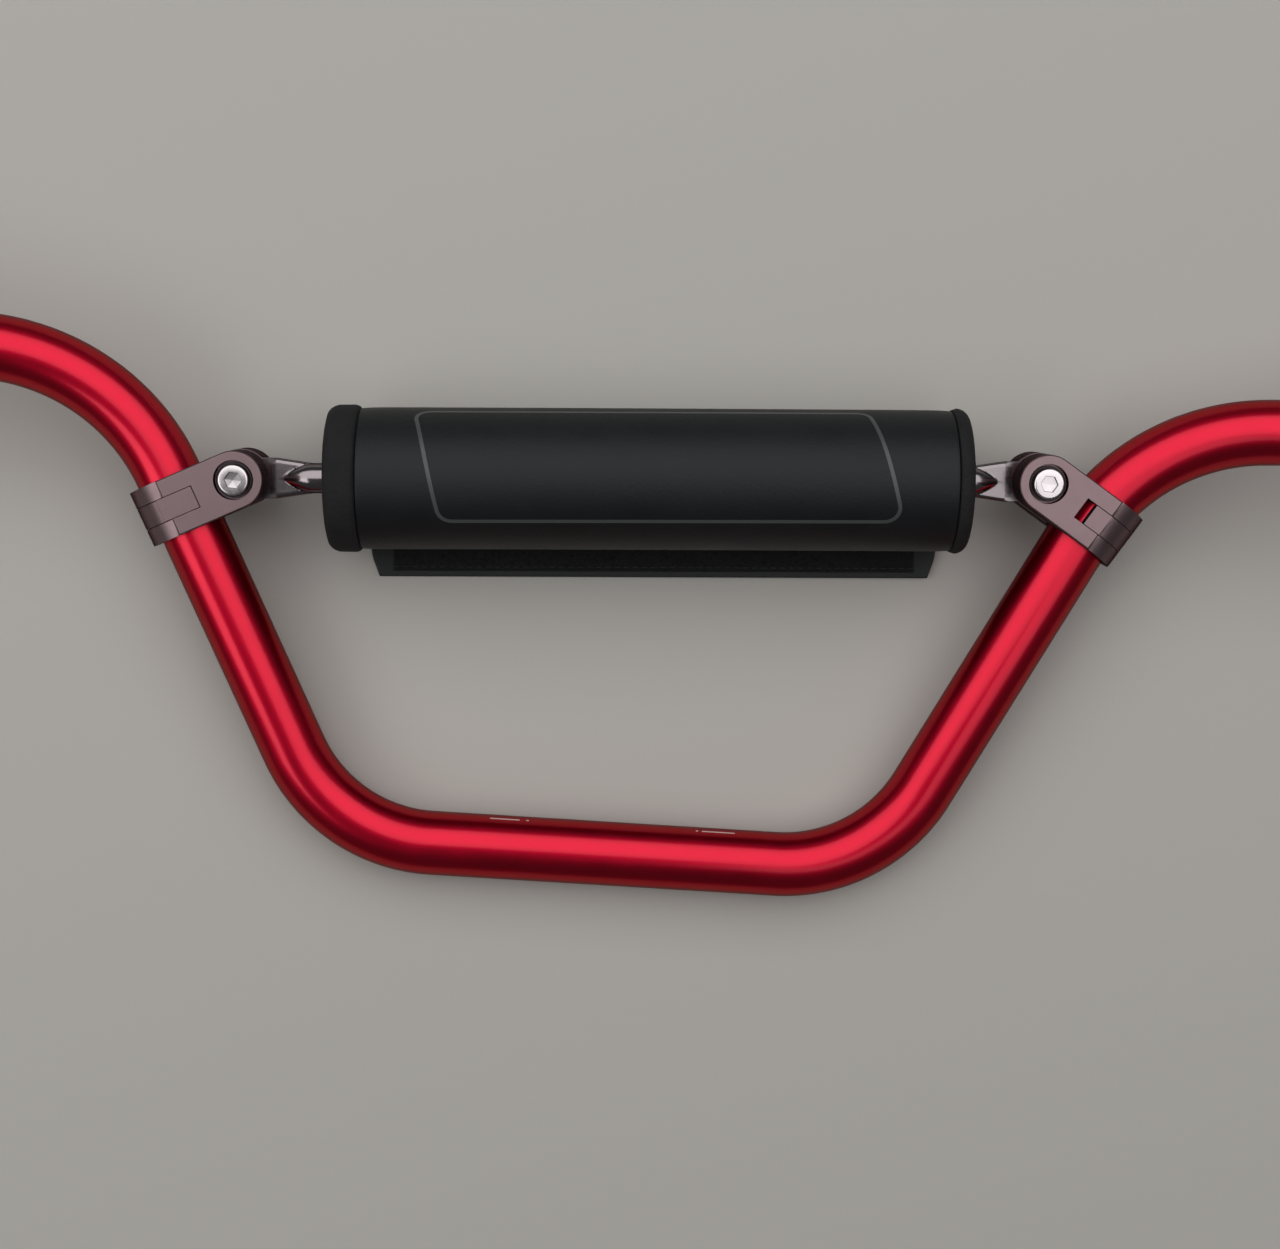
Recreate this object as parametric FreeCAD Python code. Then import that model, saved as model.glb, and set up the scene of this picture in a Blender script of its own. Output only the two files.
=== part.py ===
import FreeCAD, Part
import math
import os
from FreeCAD import Placement, Rotation, Vector

# A riser handlebar with a clamped crossbar and a crossbar pad.
#
# Everything is modelled in millimetres in the bar's own plane: X runs along the
# straight bottom run, Y up the rise and Z towards the rider.  The origin is on
# the tube's axis in the middle of the bottom run.  The whole part is then tilted
# about X until it lies on its bottom run and on the underside of its pad.

# The bent tube
bar_diameter = 22.2
bar_wall = 3.6
bar_width = 740.0
bottom_run = 120.0
bottom_bend_radius = 55.0
upright_lean = 27.0
bar_rise = 158.0
top_bend_radius = 71.0
grip_upsweep = 4.0
grip_backsweep = 10.5
tube_end_chamfer = 0.6

# The clamps: where they sit on the uprights, and their two halves
left_clamp_height = 126.0
right_clamp_height = 143.0
clamp_reach = 22.0
clamp_width = 19.5
clamp_wall = 3.3
clamp_half_height = 14.8
clamp_top_overrun = 2.0
clamp_edge_chamfer = 0.4
prong_end_angle = 215.0
prong_end_gap = 0.4
tongue_width = 7.5
tongue_root_lap = 25.0
bent_bore_clearance = 0.2
notch_width = 7.9
notch_inset = 8.4
left_tongue_gap = 0.3
right_tongue_gap = 4.0
left_tongue_overhang = 2.4
right_tongue_overhang = 0.0

# The clamp bolts, washers and nuts
bolt_diameter = 6.0
bolt_hole_diameter = 6.4
bolt_length = 25.0
bolt_head_diameter = 10.6
bolt_head_height = 3.3
bolt_head_chamfer = 0.9
bolt_head_proud = 1.0
socket_across_flats = 5.0
socket_depth = 1.8
counterbore_diameter = 13.3
washer_diameter = 12.0
washer_thickness = 1.2
nut_across_flats = 10.0
nut_height = 5.0
nut_pocket_clearance = 0.15

# The crossbar: a round tube with both ends squashed flat
crossbar_diameter = 10.2
crossbar_wall = 1.5
tab_width = 13.8
tab_straight = 12.5
squash_start = 14.5
squash_end = 24.5

# The pad: foam core, wrap cover and its closure strips.  The foam leaves some of
# the crossbar bare next to each bolt, and the cover leaves some of the foam bare
left_bare_crossbar = 30.2
right_bare_crossbar = 25.8
left_bare_foam = 11.05
right_bare_foam = 5.45
foam_end_radius = 24.7
foam_rim_chamfer = 2.2
foam_slit = 0.8
pad_tube_clearance = 0.2
cover_radius = 23.9
cover_thickness = 1.2
cover_foam_clearance = 0.15
cover_edge_gap = 0.3
cover_start_angle = 266.0
flap_reach = 32.5
flap_corner_along = 3.0
flap_corner_across = 8.0
strip_thickness = 0.8
strip_seat_gap = 0.1
strip_margin = 2.0
strip_end_margin = 8.0
hook_start_angle = 265.0
hook_end_angle = 240.0

# Sizes that follow from the values above
bar_radius = bar_diameter / 2
crossbar_radius = crossbar_diameter / 2
collar_radius = bar_radius + clamp_wall
tab_thickness = 2 * crossbar_wall
tab_half = tab_thickness / 2
strip_stack = 2 * strip_thickness
cover_lift = strip_stack + cover_thickness
lap_outer = cover_radius + cover_lift
lap_inner = lap_outer - cover_thickness
foam_radius = cover_radius - cover_thickness - cover_foam_clearance

# Heights in a clamp, measured from the bar's plane, and the bolt's axis
bolt_seat = clamp_half_height + bolt_head_proud - bolt_head_height
washer_seat = bolt_seat - washer_thickness
bolt_end = bolt_seat - bolt_length
nut_top = bolt_end + nut_height

X_AXIS = Vector(1, 0, 0)
Y_AXIS = Vector(0, 1, 0)
Z_AXIS = Vector(0, 0, 1)
CENTRE = Vector(0, 0, 0)
bolt_axis = Vector(clamp_reach, 0, 0)
lap_centre = Vector(-cover_lift, 0, 0)

# How closely an edge is matched when it is picked by its length or place
match_tolerance = 0.01


def polar(radius, degrees, centre=CENTRE):
    """A point in the XZ plane, its angle taken from +X towards +Z."""
    angle = math.radians(degrees)
    return centre + Vector(radius * math.cos(angle), 0, radius * math.sin(angle))


def arc(radius, start, end, centre=CENTRE):
    """An arc in the XZ plane from one angle to another."""
    middle = (start + end) / 2
    first = polar(radius, start, centre)
    last = polar(radius, end, centre)
    return Part.Arc(first, polar(radius, middle, centre), last).toShape()


def line(start, end):
    return Part.LineSegment(start, end).toShape()


def face_of(edges):
    return Part.Face(Part.Wire(Part.__sortEdges__(edges)))


def prism_across(face, width):
    """Pull a face that lies in the XZ plane out to both sides along Y."""
    prism = face.extrude(Vector(0, width, 0))
    prism.translate(Vector(0, -width / 2, 0))
    return prism


def hexagon(across_flats, height, base):
    """A hexagonal prism about Z with its lower face at the height base."""
    radius = across_flats / math.sqrt(3)
    corners = []
    for step in range(7):
        angle = math.radians(60 * step)
        corners.append(Vector(radius * math.cos(angle), radius * math.sin(angle), base))
    return Part.Face(Part.makePolygon(corners)).extrude(Vector(0, 0, height))


def disc(diameter, bottom, top, centre=CENTRE):
    """A cylinder about Z between two heights."""
    start = centre + Vector(0, 0, bottom)
    return Part.makeCylinder(diameter / 2, top - bottom, start, Z_AXIS)


def bent_path(corners, radii):
    """Straight runs between corners, joined by tangent arcs."""
    edges = []
    start = corners[0]
    for before, corner, after, radius in zip(corners, corners[1:], corners[2:], radii):
        towards_before = (before - corner).normalize()
        towards_after = (after - corner).normalize()
        half_angle = towards_before.getAngle(towards_after) / 2
        setback = radius / math.tan(half_angle)
        bisector = (towards_before + towards_after).normalize()
        arc_middle = corner + bisector * (radius / math.sin(half_angle) - radius)
        arc_start = corner + towards_before * setback
        arc_end = corner + towards_after * setback
        edges.append(line(start, arc_start))
        edges.append(Part.Arc(arc_start, arc_middle, arc_end).toShape())
        start = arc_end
    edges.append(line(start, corners[-1]))
    return Part.Wire(edges)


def mirrored(point):
    return Vector(-point.x, point.y, point.z)


def swept_rod(path, radius, start, direction):
    """A round rod of one radius along a path."""
    section = Part.Wire(Part.makeCircle(radius, start, direction))
    return path.makePipeShell([section], True, False)


# Corner points of the bar's axis, worked out for its right half
bottom_turn = math.radians(90 - upright_lean)
lean = math.radians(upright_lean)
upsweep = math.radians(grip_upsweep)
backsweep = math.radians(grip_backsweep)
bottom_corner = Vector(bottom_run / 2 + bottom_bend_radius * math.tan(bottom_turn / 2), 0, 0)
upright_direction = Vector(math.sin(lean), math.cos(lean), 0)
top_corner = bottom_corner + upright_direction * (bar_rise / math.cos(lean))
grip_direction = Vector(
    math.cos(upsweep) * math.cos(backsweep),
    math.sin(upsweep) * math.cos(backsweep),
    math.sin(backsweep),
)
grip_end = top_corner + grip_direction * ((bar_width / 2 - top_corner.x) / grip_direction.x)
top_setback = top_bend_radius * math.tan(upright_direction.getAngle(grip_direction) / 2)
upright_straight = (top_corner - bottom_corner).Length - top_setback


def upright_station(distance):
    """Point and direction on the right half's axis, a distance up from the bottom corner.

    Past the end of the straight upright the station is on the top bend, as it
    looks in the bar's plane.
    """
    straight = min(distance, upright_straight)
    angle = (distance - straight) / top_bend_radius
    sideways = grip_direction - upright_direction * grip_direction.dot(upright_direction)
    sideways = sideways.normalize()
    forwards = straight + top_bend_radius * math.sin(angle)
    aside = top_bend_radius * (1 - math.cos(angle))
    point = bottom_corner + upright_direction * forwards + sideways * aside
    direction = upright_direction * math.cos(angle) + sideways * math.sin(angle)
    return Vector(point.x, point.y, 0), Vector(direction.x, direction.y, 0).normalize()


def clamp_frame(side, height):
    """Centre of a clamp on the bar's axis, and the direction from there to its bolt."""
    centre, direction = upright_station(height)
    inward = Z_AXIS.cross(direction)
    if side < 0:
        centre = mirrored(centre)
        inward = mirrored(inward)
    return centre, inward


def frame_placement(origin, x_direction):
    """A placement with its X along a direction in the bar's plane and Z up."""
    turn = math.degrees(math.atan2(x_direction.y, x_direction.x))
    return Placement(origin, Rotation(Z_AXIS, turn))


left_centre, left_inward = clamp_frame(-1, left_clamp_height)
right_centre, right_inward = clamp_frame(1, right_clamp_height)
left_bolt = left_centre + left_inward * clamp_reach
right_bolt = right_centre + right_inward * clamp_reach
crossbar_span = right_bolt - left_bolt
bolt_spacing = crossbar_span.Length
crossbar_place = frame_placement(left_bolt, crossbar_span)
foam_start = left_bare_crossbar
foam_end = bolt_spacing - right_bare_crossbar
foam_length = foam_end - foam_start
cover_start = foam_start + left_bare_foam
cover_end = foam_end - right_bare_foam
cover_length = cover_end - cover_start
strip_start = cover_start + strip_end_margin
strip_length = cover_length - 2 * strip_end_margin

# Tilt at which the bottom run and the low end of the pad's flap touch one plane
pad_low_end = crossbar_place.multVec(Vector(cover_start, 0, 0)).y
rest_tilt = math.degrees(math.asin((lap_outer - bar_radius) / pad_low_end))
rest_place = Placement(CENTRE, Rotation(X_AXIS, rest_tilt))


def bar_path():
    """The bar's axis from its left end to its right end."""
    corners = [
        mirrored(grip_end),
        mirrored(top_corner),
        mirrored(bottom_corner),
        bottom_corner,
        top_corner,
        grip_end,
    ]
    radii = [top_bend_radius, bottom_bend_radius, bottom_bend_radius, top_bend_radius]
    return bent_path(corners, radii)


def bar_rod(radius):
    """A solid rod of one radius along the bar's axis."""
    return swept_rod(bar_path(), radius, mirrored(grip_end), mirrored(grip_direction * -1))


def make_handlebar_tube():
    """One tube, bent four times, with open chamfered ends."""
    outside = bar_rod(bar_radius)
    ends = []
    for edge in outside.Edges:
        is_ring = abs(edge.Length - math.pi * bar_diameter) < match_tolerance
        if is_ring and abs(abs(edge.CenterOfMass.x) - bar_width / 2) < match_tolerance:
            ends.append(edge)
    outside = outside.makeChamfer(tube_end_chamfer, ends)
    return outside.cut(bar_rod(bar_radius - bar_wall))


def squashed_end():
    """Flat tab with its eye at the origin, opening into a round tube along +X."""
    half_tab = tab_width / 2
    eye = disc(tab_width, -tab_half, tab_half)
    outline = [
        Vector(0, -half_tab, -tab_half),
        Vector(tab_straight, -half_tab, -tab_half),
        Vector(squash_end, -crossbar_radius, -tab_half),
        Vector(squash_end, crossbar_radius, -tab_half),
        Vector(tab_straight, half_tab, -tab_half),
        Vector(0, half_tab, -tab_half),
        Vector(0, -half_tab, -tab_half),
    ]
    tab = Part.Face(Part.makePolygon(outline)).extrude(Vector(0, 0, tab_thickness))
    narrow = Part.Wire(Part.makeCircle(tab_half, Vector(squash_start, 0, 0), X_AXIS))
    wide = Part.Wire(Part.makeCircle(crossbar_radius, Vector(squash_end, 0, 0), X_AXIS))
    barrel = Part.makeLoft([narrow, wide], True)
    end = eye.fuse([tab, barrel])
    bore_tip = squash_start + crossbar_wall
    hollow = Part.makeCone(
        0,
        crossbar_radius - crossbar_wall,
        squash_end - bore_tip,
        Vector(bore_tip, 0, 0),
        X_AXIS,
    )
    hole = disc(bolt_hole_diameter, -tab_thickness, tab_thickness)
    return end.cut(hollow).cut(hole)


def make_crossbar():
    """Round tube between two squashed and drilled ends."""
    length = bolt_spacing - 2 * squash_end
    start = Vector(squash_end, 0, 0)
    tube = Part.makeCylinder(crossbar_radius, length, start, X_AXIS)
    bore = Part.makeCylinder(crossbar_radius - crossbar_wall, length, start, X_AXIS)
    near_end = squashed_end()
    far_end = squashed_end()
    far_end.rotate(CENTRE, Z_AXIS, 180)
    far_end.translate(Vector(bolt_spacing, 0, 0))
    return tube.cut(bore).fuse([near_end, far_end]).removeSplitter()


def clamp_plan():
    """The clamp's outline from above, drawn too tall: straight sides and a round bolt end."""
    bottom = -2 * clamp_half_height
    top = 2 * clamp_half_height
    corner = Vector(-collar_radius, -clamp_width / 2, bottom)
    slab = Part.makeBox(clamp_reach + collar_radius, clamp_width, top - bottom, corner)
    return slab.fuse(disc(clamp_width, bottom, top, bolt_axis))


# The three profiles below are drawn through to the bar's axis; its bore is cut out later


def upper_profile():
    """Side view of the upper half: flat plate over the bar, prongs round its far side."""
    nose = clamp_reach + clamp_width / 2
    step_angle = math.degrees(math.acos(-clamp_top_overrun / collar_radius))
    top_edge = Vector(-clamp_top_overrun, 0, clamp_half_height)
    return face_of([
        line(top_edge, Vector(nose, 0, clamp_half_height)),
        line(Vector(nose, 0, clamp_half_height), Vector(nose, 0, tab_half)),
        line(Vector(nose, 0, tab_half), Vector(0, 0, tab_half)),
        line(Vector(0, 0, tab_half), CENTRE),
        line(CENTRE, polar(collar_radius, prong_end_angle)),
        arc(collar_radius, prong_end_angle, step_angle),
        line(polar(collar_radius, step_angle), top_edge),
    ])


def lower_profile():
    """Side view of the lower half's wide part, below the bar."""
    nose = clamp_reach + clamp_width / 2
    stop_angle = prong_end_angle + math.degrees(prong_end_gap / bar_radius)
    step_angle = 360 - math.degrees(math.acos(-clamp_top_overrun / collar_radius))
    bottom_edge = Vector(-clamp_top_overrun, 0, -clamp_half_height)
    return face_of([
        line(bottom_edge, Vector(nose, 0, -clamp_half_height)),
        line(Vector(nose, 0, -clamp_half_height), Vector(nose, 0, -tab_half)),
        line(Vector(nose, 0, -tab_half), Vector(0, 0, -tab_half)),
        line(Vector(0, 0, -tab_half), CENTRE),
        line(CENTRE, polar(collar_radius, stop_angle)),
        arc(collar_radius, stop_angle, step_angle),
        line(polar(collar_radius, step_angle), bottom_edge),
    ])


def tongue_profile(gap, overhang):
    """Side view of the tongue: up round the bar's far side and over into the notch."""
    tip = notch_inset - gap
    heel = clamp_top_overrun + overhang
    heel_angle = math.degrees(math.acos(-heel / collar_radius))
    root_angle = prong_end_angle + tongue_root_lap
    top_tip = Vector(tip, 0, clamp_half_height)
    top_heel = Vector(-heel, 0, clamp_half_height)
    return face_of([
        line(CENTRE, Vector(tip, 0, 0)),
        line(Vector(tip, 0, 0), top_tip),
        line(top_tip, top_heel),
        line(top_heel, polar(collar_radius, heel_angle)),
        arc(collar_radius, heel_angle, root_angle),
        line(polar(collar_radius, root_angle), CENTRE),
    ])


def chamfer_outline(solid, height):
    """Break the long sharp edges of a flat face at one height."""
    side = clamp_width / 2 - match_tolerance
    edges = []
    for edge in solid.Edges:
        box = edge.BoundBox
        flat = max(abs(box.ZMin - height), abs(box.ZMax - height)) < match_tolerance
        if flat and (box.YMin < -side or box.YMax > side):
            edges.append(edge)
    return solid.makeChamfer(clamp_edge_chamfer, edges)


def bar_bore(height):
    """Straight bore for the bar, eased by what the bar bends within the clamp's width."""
    ease = 0
    room = 0
    if height + clamp_width / 2 > upright_straight:
        inner_bend = top_bend_radius - bar_radius
        ease = (inner_bend - math.sqrt(inner_bend ** 2 - (clamp_width / 2) ** 2)) / 2
        room = bent_bore_clearance
    start = Vector(-ease, -clamp_width, 0)
    return Part.makeCylinder(bar_radius + ease + room, 2 * clamp_width, start, Y_AXIS)


def make_upper_clamp(height):
    """Forked upper half with a counterbore for the bolt's head and washer."""
    body = prism_across(upper_profile(), clamp_width).common(clamp_plan())
    body = chamfer_outline(body, clamp_half_height)
    corner = Vector(-2 * collar_radius, -notch_width / 2, -2 * collar_radius)
    notch_length = notch_inset + 2 * collar_radius
    notch = Part.makeBox(notch_length, notch_width, 4 * collar_radius, corner)
    hole = disc(bolt_hole_diameter, 0, clamp_half_height, bolt_axis)
    recess = disc(counterbore_diameter, washer_seat, clamp_half_height, bolt_axis)
    return body.cut([notch, hole, recess, bar_bore(height)])


def make_lower_clamp(height, tongue_gap, tongue_overhang):
    """Lower half with its tongue and a pocket that holds the nut."""
    body = prism_across(lower_profile(), clamp_width).common(clamp_plan())
    body = chamfer_outline(body, -clamp_half_height)
    tongue = prism_across(tongue_profile(tongue_gap, tongue_overhang), tongue_width)
    hole = disc(bolt_hole_diameter, -clamp_half_height, 0, bolt_axis)
    pocket_size = nut_across_flats + 2 * nut_pocket_clearance
    pocket = hexagon(pocket_size, clamp_half_height + nut_top, -clamp_half_height)
    pocket.translate(bolt_axis)
    return body.fuse(tongue).cut([hole, pocket, bar_bore(height)]).removeSplitter()


def make_bolt():
    """Round-headed bolt with a hexagon socket."""
    head_radius = bolt_head_diameter / 2
    shank_radius = bolt_diameter / 2
    head_top = bolt_seat + bolt_head_height
    outline = [
        Vector(0, 0, bolt_end),
        Vector(shank_radius, 0, bolt_end),
        Vector(shank_radius, 0, bolt_seat),
        Vector(head_radius, 0, bolt_seat),
        Vector(head_radius, 0, head_top - bolt_head_chamfer),
        Vector(head_radius - bolt_head_chamfer, 0, head_top),
        Vector(0, 0, head_top),
        Vector(0, 0, bolt_end),
    ]
    bolt = Part.Face(Part.makePolygon(outline)).revolve(CENTRE, Z_AXIS, 360)
    bolt = bolt.cut(hexagon(socket_across_flats, socket_depth, head_top - socket_depth))
    bolt.translate(bolt_axis)
    return bolt


def make_washer():
    ring = disc(washer_diameter, washer_seat, bolt_seat, bolt_axis)
    return ring.cut(disc(bolt_hole_diameter, washer_seat, bolt_seat, bolt_axis))


def make_nut():
    nut = hexagon(nut_across_flats, nut_height, bolt_end)
    nut = nut.cut(disc(bolt_diameter, bolt_end, nut_top))
    nut.translate(bolt_axis)
    return nut


def along_crossbar(face, start, length):
    """Turn a section drawn in XZ so that it runs along the crossbar."""
    prism = face.extrude(Vector(0, -length, 0))
    prism.rotate(CENTRE, Z_AXIS, 90)
    prism.translate(Vector(start, 0, 0))
    return prism


def make_foam():
    """Slit foam core, squeezed by the cover and swollen at both bare ends."""
    left_collar_end = cover_start - cover_edge_gap
    right_collar_start = cover_end + cover_edge_gap
    hole_radius = crossbar_radius + pad_tube_clearance
    rim_radius = foam_end_radius - foam_rim_chamfer
    outline = [
        Vector(foam_start, 0, hole_radius),
        Vector(foam_start, 0, rim_radius),
        Vector(foam_start + foam_rim_chamfer, 0, foam_end_radius),
        Vector(left_collar_end, 0, foam_end_radius),
        Vector(left_collar_end, 0, foam_radius),
        Vector(right_collar_start, 0, foam_radius),
        Vector(right_collar_start, 0, foam_end_radius),
        Vector(foam_end - foam_rim_chamfer, 0, foam_end_radius),
        Vector(foam_end, 0, rim_radius),
        Vector(foam_end, 0, hole_radius),
        Vector(foam_start, 0, hole_radius),
    ]
    core = Part.Face(Part.makePolygon(outline)).revolve(CENTRE, X_AXIS, 360)
    slit_corner = Vector(foam_start, -foam_slit / 2, -2 * foam_end_radius)
    slit = Part.makeBox(foam_length, foam_slit, 2 * foam_end_radius, slit_corner)
    return core.cut(slit)


def cover_section():
    """Section of the wrap, with +X towards the far side of the pad.

    It starts under the near side, goes once round the foam, laps over its own
    start and ends in a flat flap that sticks out on the near side.
    """
    inner = cover_radius - cover_thickness
    flap_bottom = Vector(-flap_reach, 0, -lap_outer)
    flap_top = Vector(-flap_reach, 0, -lap_inner)
    return face_of([
        arc(cover_radius, cover_start_angle, 180),
        arc(cover_radius, 180, 0),
        arc(lap_outer, 0, -90, lap_centre),
        line(polar(lap_outer, -90, lap_centre), flap_bottom),
        line(flap_bottom, flap_top),
        line(flap_top, polar(lap_inner, -90, lap_centre)),
        arc(lap_inner, -90, 0, lap_centre),
        arc(inner, 0, 180),
        arc(inner, 180, cover_start_angle),
        line(polar(inner, cover_start_angle), polar(cover_radius, cover_start_angle)),
    ])


def make_cover():
    """Wrapped sheet with the outer corners of its flap cut off."""
    cover = along_crossbar(cover_section(), cover_start, cover_length)
    for end, inwards in ((cover_start, 1), (cover_end, -1)):
        corner = Vector(end, -flap_reach, -2 * lap_outer)
        along = corner + Vector(inwards * flap_corner_along, 0, 0)
        across = corner + Vector(0, flap_corner_across, 0)
        triangle = Part.Face(Part.makePolygon([corner, along, across, corner]))
        cover = cover.cut(triangle.extrude(Vector(0, 0, 2 * lap_outer)))
    return cover


def make_hook_strip():
    """Curved strip sewn on the outside of the wrap's covered start."""
    inner = cover_radius + strip_seat_gap
    outer = inner + strip_thickness
    section = face_of([
        arc(inner, hook_start_angle, hook_end_angle),
        line(polar(inner, hook_end_angle), polar(outer, hook_end_angle)),
        arc(outer, hook_end_angle, hook_start_angle),
        line(polar(outer, hook_start_angle), polar(inner, hook_start_angle)),
    ])
    return along_crossbar(section, strip_start, strip_length)


def make_loop_strip():
    """Flat strip sewn on the inside of the flap."""
    width = flap_reach - strip_margin - cover_lift
    corner = Vector(strip_start, strip_margin - flap_reach, -lap_inner)
    return Part.makeBox(strip_length, width, strip_thickness, corner)


# The flap is kept level while the bar is tilted, so the pad is turned back on its tube
pad_place = crossbar_place.multiply(Placement(CENTRE, Rotation(X_AXIS, -rest_tilt)))
left_clamp_place = frame_placement(left_centre, left_inward)
right_clamp_place = frame_placement(right_centre, right_inward)
bar_place = Placement()

nodes = [
    ("handlebar_tube", make_handlebar_tube(), bar_place),
    ("crossbar_tube", make_crossbar(), crossbar_place),
    ("pad_foam", make_foam(), pad_place),
    ("pad_cover", make_cover(), pad_place),
    ("pad_hook_strip", make_hook_strip(), pad_place),
    ("pad_loop_strip", make_loop_strip(), pad_place),
]
sides = [
    ("left", left_clamp_place, left_clamp_height, left_tongue_gap, left_tongue_overhang),
    ("right", right_clamp_place, right_clamp_height, right_tongue_gap, right_tongue_overhang),
]
for side, place, height, gap, overhang in sides:
    nodes.append((side + "_clamp_upper", make_upper_clamp(height), place))
    nodes.append((side + "_clamp_lower", make_lower_clamp(height, gap, overhang), place))
    nodes.append((side + "_clamp_bolt", make_bolt(), place))
    nodes.append((side + "_clamp_washer", make_washer(), place))
    nodes.append((side + "_clamp_nut", make_nut(), place))

os.makedirs("parts", exist_ok=True)
for name, shape, place in nodes:
    shape.Placement = rest_place.multiply(place).multiply(shape.Placement)
    shape.exportStep("parts/" + name + ".step")
    print(name, len(shape.Solids), "solid, volume", round(shape.Volume, 1), shape.isValid())
print("rest tilt", round(rest_tilt, 3), "bolt spacing", round(bolt_spacing, 2))
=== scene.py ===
# %% [markdown]
# # A red riser handlebar with a padded crossbar
#
# The bar lies on a pale floor and is seen almost from straight above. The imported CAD
# part gives every size and place. This lesson gives the same pieces the surfaces of the
# real ones: satin anodised tube, cast clamps, plated bolts, foam and a sewn vinyl wrap.

# %% Loading the frame
from math import asin, atan2, ceil, cos, degrees, pi, radians, sin, sqrt, tan

import bmesh
import bpy
from mathutils import Matrix, Vector
from mathutils.bvhtree import BVHTree


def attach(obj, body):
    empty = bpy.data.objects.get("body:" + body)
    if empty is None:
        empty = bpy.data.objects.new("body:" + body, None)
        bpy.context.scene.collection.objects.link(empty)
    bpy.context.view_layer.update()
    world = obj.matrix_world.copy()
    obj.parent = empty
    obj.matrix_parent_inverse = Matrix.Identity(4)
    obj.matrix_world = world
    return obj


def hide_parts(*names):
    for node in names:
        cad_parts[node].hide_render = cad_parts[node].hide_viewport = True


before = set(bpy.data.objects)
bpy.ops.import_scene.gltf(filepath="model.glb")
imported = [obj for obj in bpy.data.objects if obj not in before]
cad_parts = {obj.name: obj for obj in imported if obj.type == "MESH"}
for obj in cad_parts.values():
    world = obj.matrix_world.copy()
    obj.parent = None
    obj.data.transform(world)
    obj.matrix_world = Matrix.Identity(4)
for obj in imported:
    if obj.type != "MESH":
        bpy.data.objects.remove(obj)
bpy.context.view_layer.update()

MM = 0.001

# %% [markdown]
# ## The bar's own plane
#
# A bar is bent in one plane, and only the grips leave it. It is simplest to work in that
# plane: X along the bottom run, Y up the rise, Z towards the rider. The part lies tilted
# on its pad, so one matrix turns finished shapes from the bar's plane to the floor.

# %% The bar's driving sizes
BAR_RADIUS = 11.1 * MM
BORE_RADIUS = 7.5 * MM
BAR_HALF_WIDTH = 370 * MM
HALF_BOTTOM_RUN = 60 * MM
BOTTOM_BEND_RADIUS = 55 * MM
TOP_BEND_RADIUS = 71 * MM
RISE = 158 * MM
LEAN = radians(27)
UPSWEEP = radians(4)
BACKSWEEP = radians(10.5)

bottom_setback = BOTTOM_BEND_RADIUS * tan((pi / 2 - LEAN) / 2)
bottom_corner = Vector((HALF_BOTTOM_RUN + bottom_setback, 0, 0))
upright = Vector((sin(LEAN), cos(LEAN), 0))
grip = Vector((cos(UPSWEEP) * cos(BACKSWEEP), sin(UPSWEEP) * cos(BACKSWEEP), sin(BACKSWEEP)))
top_corner = bottom_corner + upright * (RISE / cos(LEAN))
grip_end = top_corner + grip * ((BAR_HALF_WIDTH - top_corner.x) / grip.x)
print("grip ends at", [round(v / MM, 1) for v in grip_end], "mm in the bar's plane")

# %% [markdown]
# ## Where the crossbar and its pad sit
#
# Each clamp grips an upright at its own height, so the crossbar between the two bolts is
# a little askew. The right clamp reaches onto the top bend and turns with it. The pad
# hangs on the crossbar, turned until its flap is level with the floor.

# %% Clamps, crossbar and pad
CLAMP_HEIGHT = {"left": 126 * MM, "right": 143 * MM}
CLAMP_REACH = 22 * MM
LAP_RADIUS = 26.7 * MM
LEFT_BARE_CROSSBAR = 30.2 * MM
RIGHT_BARE_CROSSBAR = 25.8 * MM
LEFT_BARE_FOAM = 11.05 * MM
RIGHT_BARE_FOAM = 5.45 * MM


def clamp_centre(side):
    """Where a clamp grips the bar, and the direction from there to its bolt."""
    turn = upright.angle(grip)
    straight = (top_corner - bottom_corner).length - TOP_BEND_RADIUS * tan(turn / 2)
    height = CLAMP_HEIGHT[side]
    bent = max(0, height - straight) / TOP_BEND_RADIUS
    aside = (grip - upright * grip.dot(upright)).normalized()
    forwards = min(height, straight) + TOP_BEND_RADIUS * sin(bent)
    centre = bottom_corner + upright * forwards + aside * TOP_BEND_RADIUS * (1 - cos(bent))
    along = upright * cos(bent) + aside * sin(bent)
    centre.z = 0
    along.z = 0
    inward = Vector((0, 0, 1)).cross(along).normalized()
    if side == "left":
        centre.x = -centre.x
        inward.x = -inward.x
    return centre, inward


def frame_at(origin, x_direction):
    """A frame in the bar's plane with its X along a direction and its Z up."""
    turn = Matrix.Rotation(atan2(x_direction.y, x_direction.x), 4, "Z")
    return Matrix.Translation(origin) @ turn


left_centre, left_inward = clamp_centre("left")
right_centre, right_inward = clamp_centre("right")
left_bolt = left_centre + left_inward * CLAMP_REACH
right_bolt = right_centre + right_inward * CLAMP_REACH
BOLT_SPACING = (right_bolt - left_bolt).length
FOAM_START = LEFT_BARE_CROSSBAR
FOAM_END = BOLT_SPACING - RIGHT_BARE_CROSSBAR
COVER_START = FOAM_START + LEFT_BARE_FOAM
COVER_END = FOAM_END - RIGHT_BARE_FOAM
crossbar_in_plane = frame_at(left_bolt, right_bolt - left_bolt)
pad_low_end = (crossbar_in_plane @ Vector((COVER_START, 0, 0))).y
REST_TILT = asin((LAP_RADIUS - BAR_RADIUS) / pad_low_end)

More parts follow.
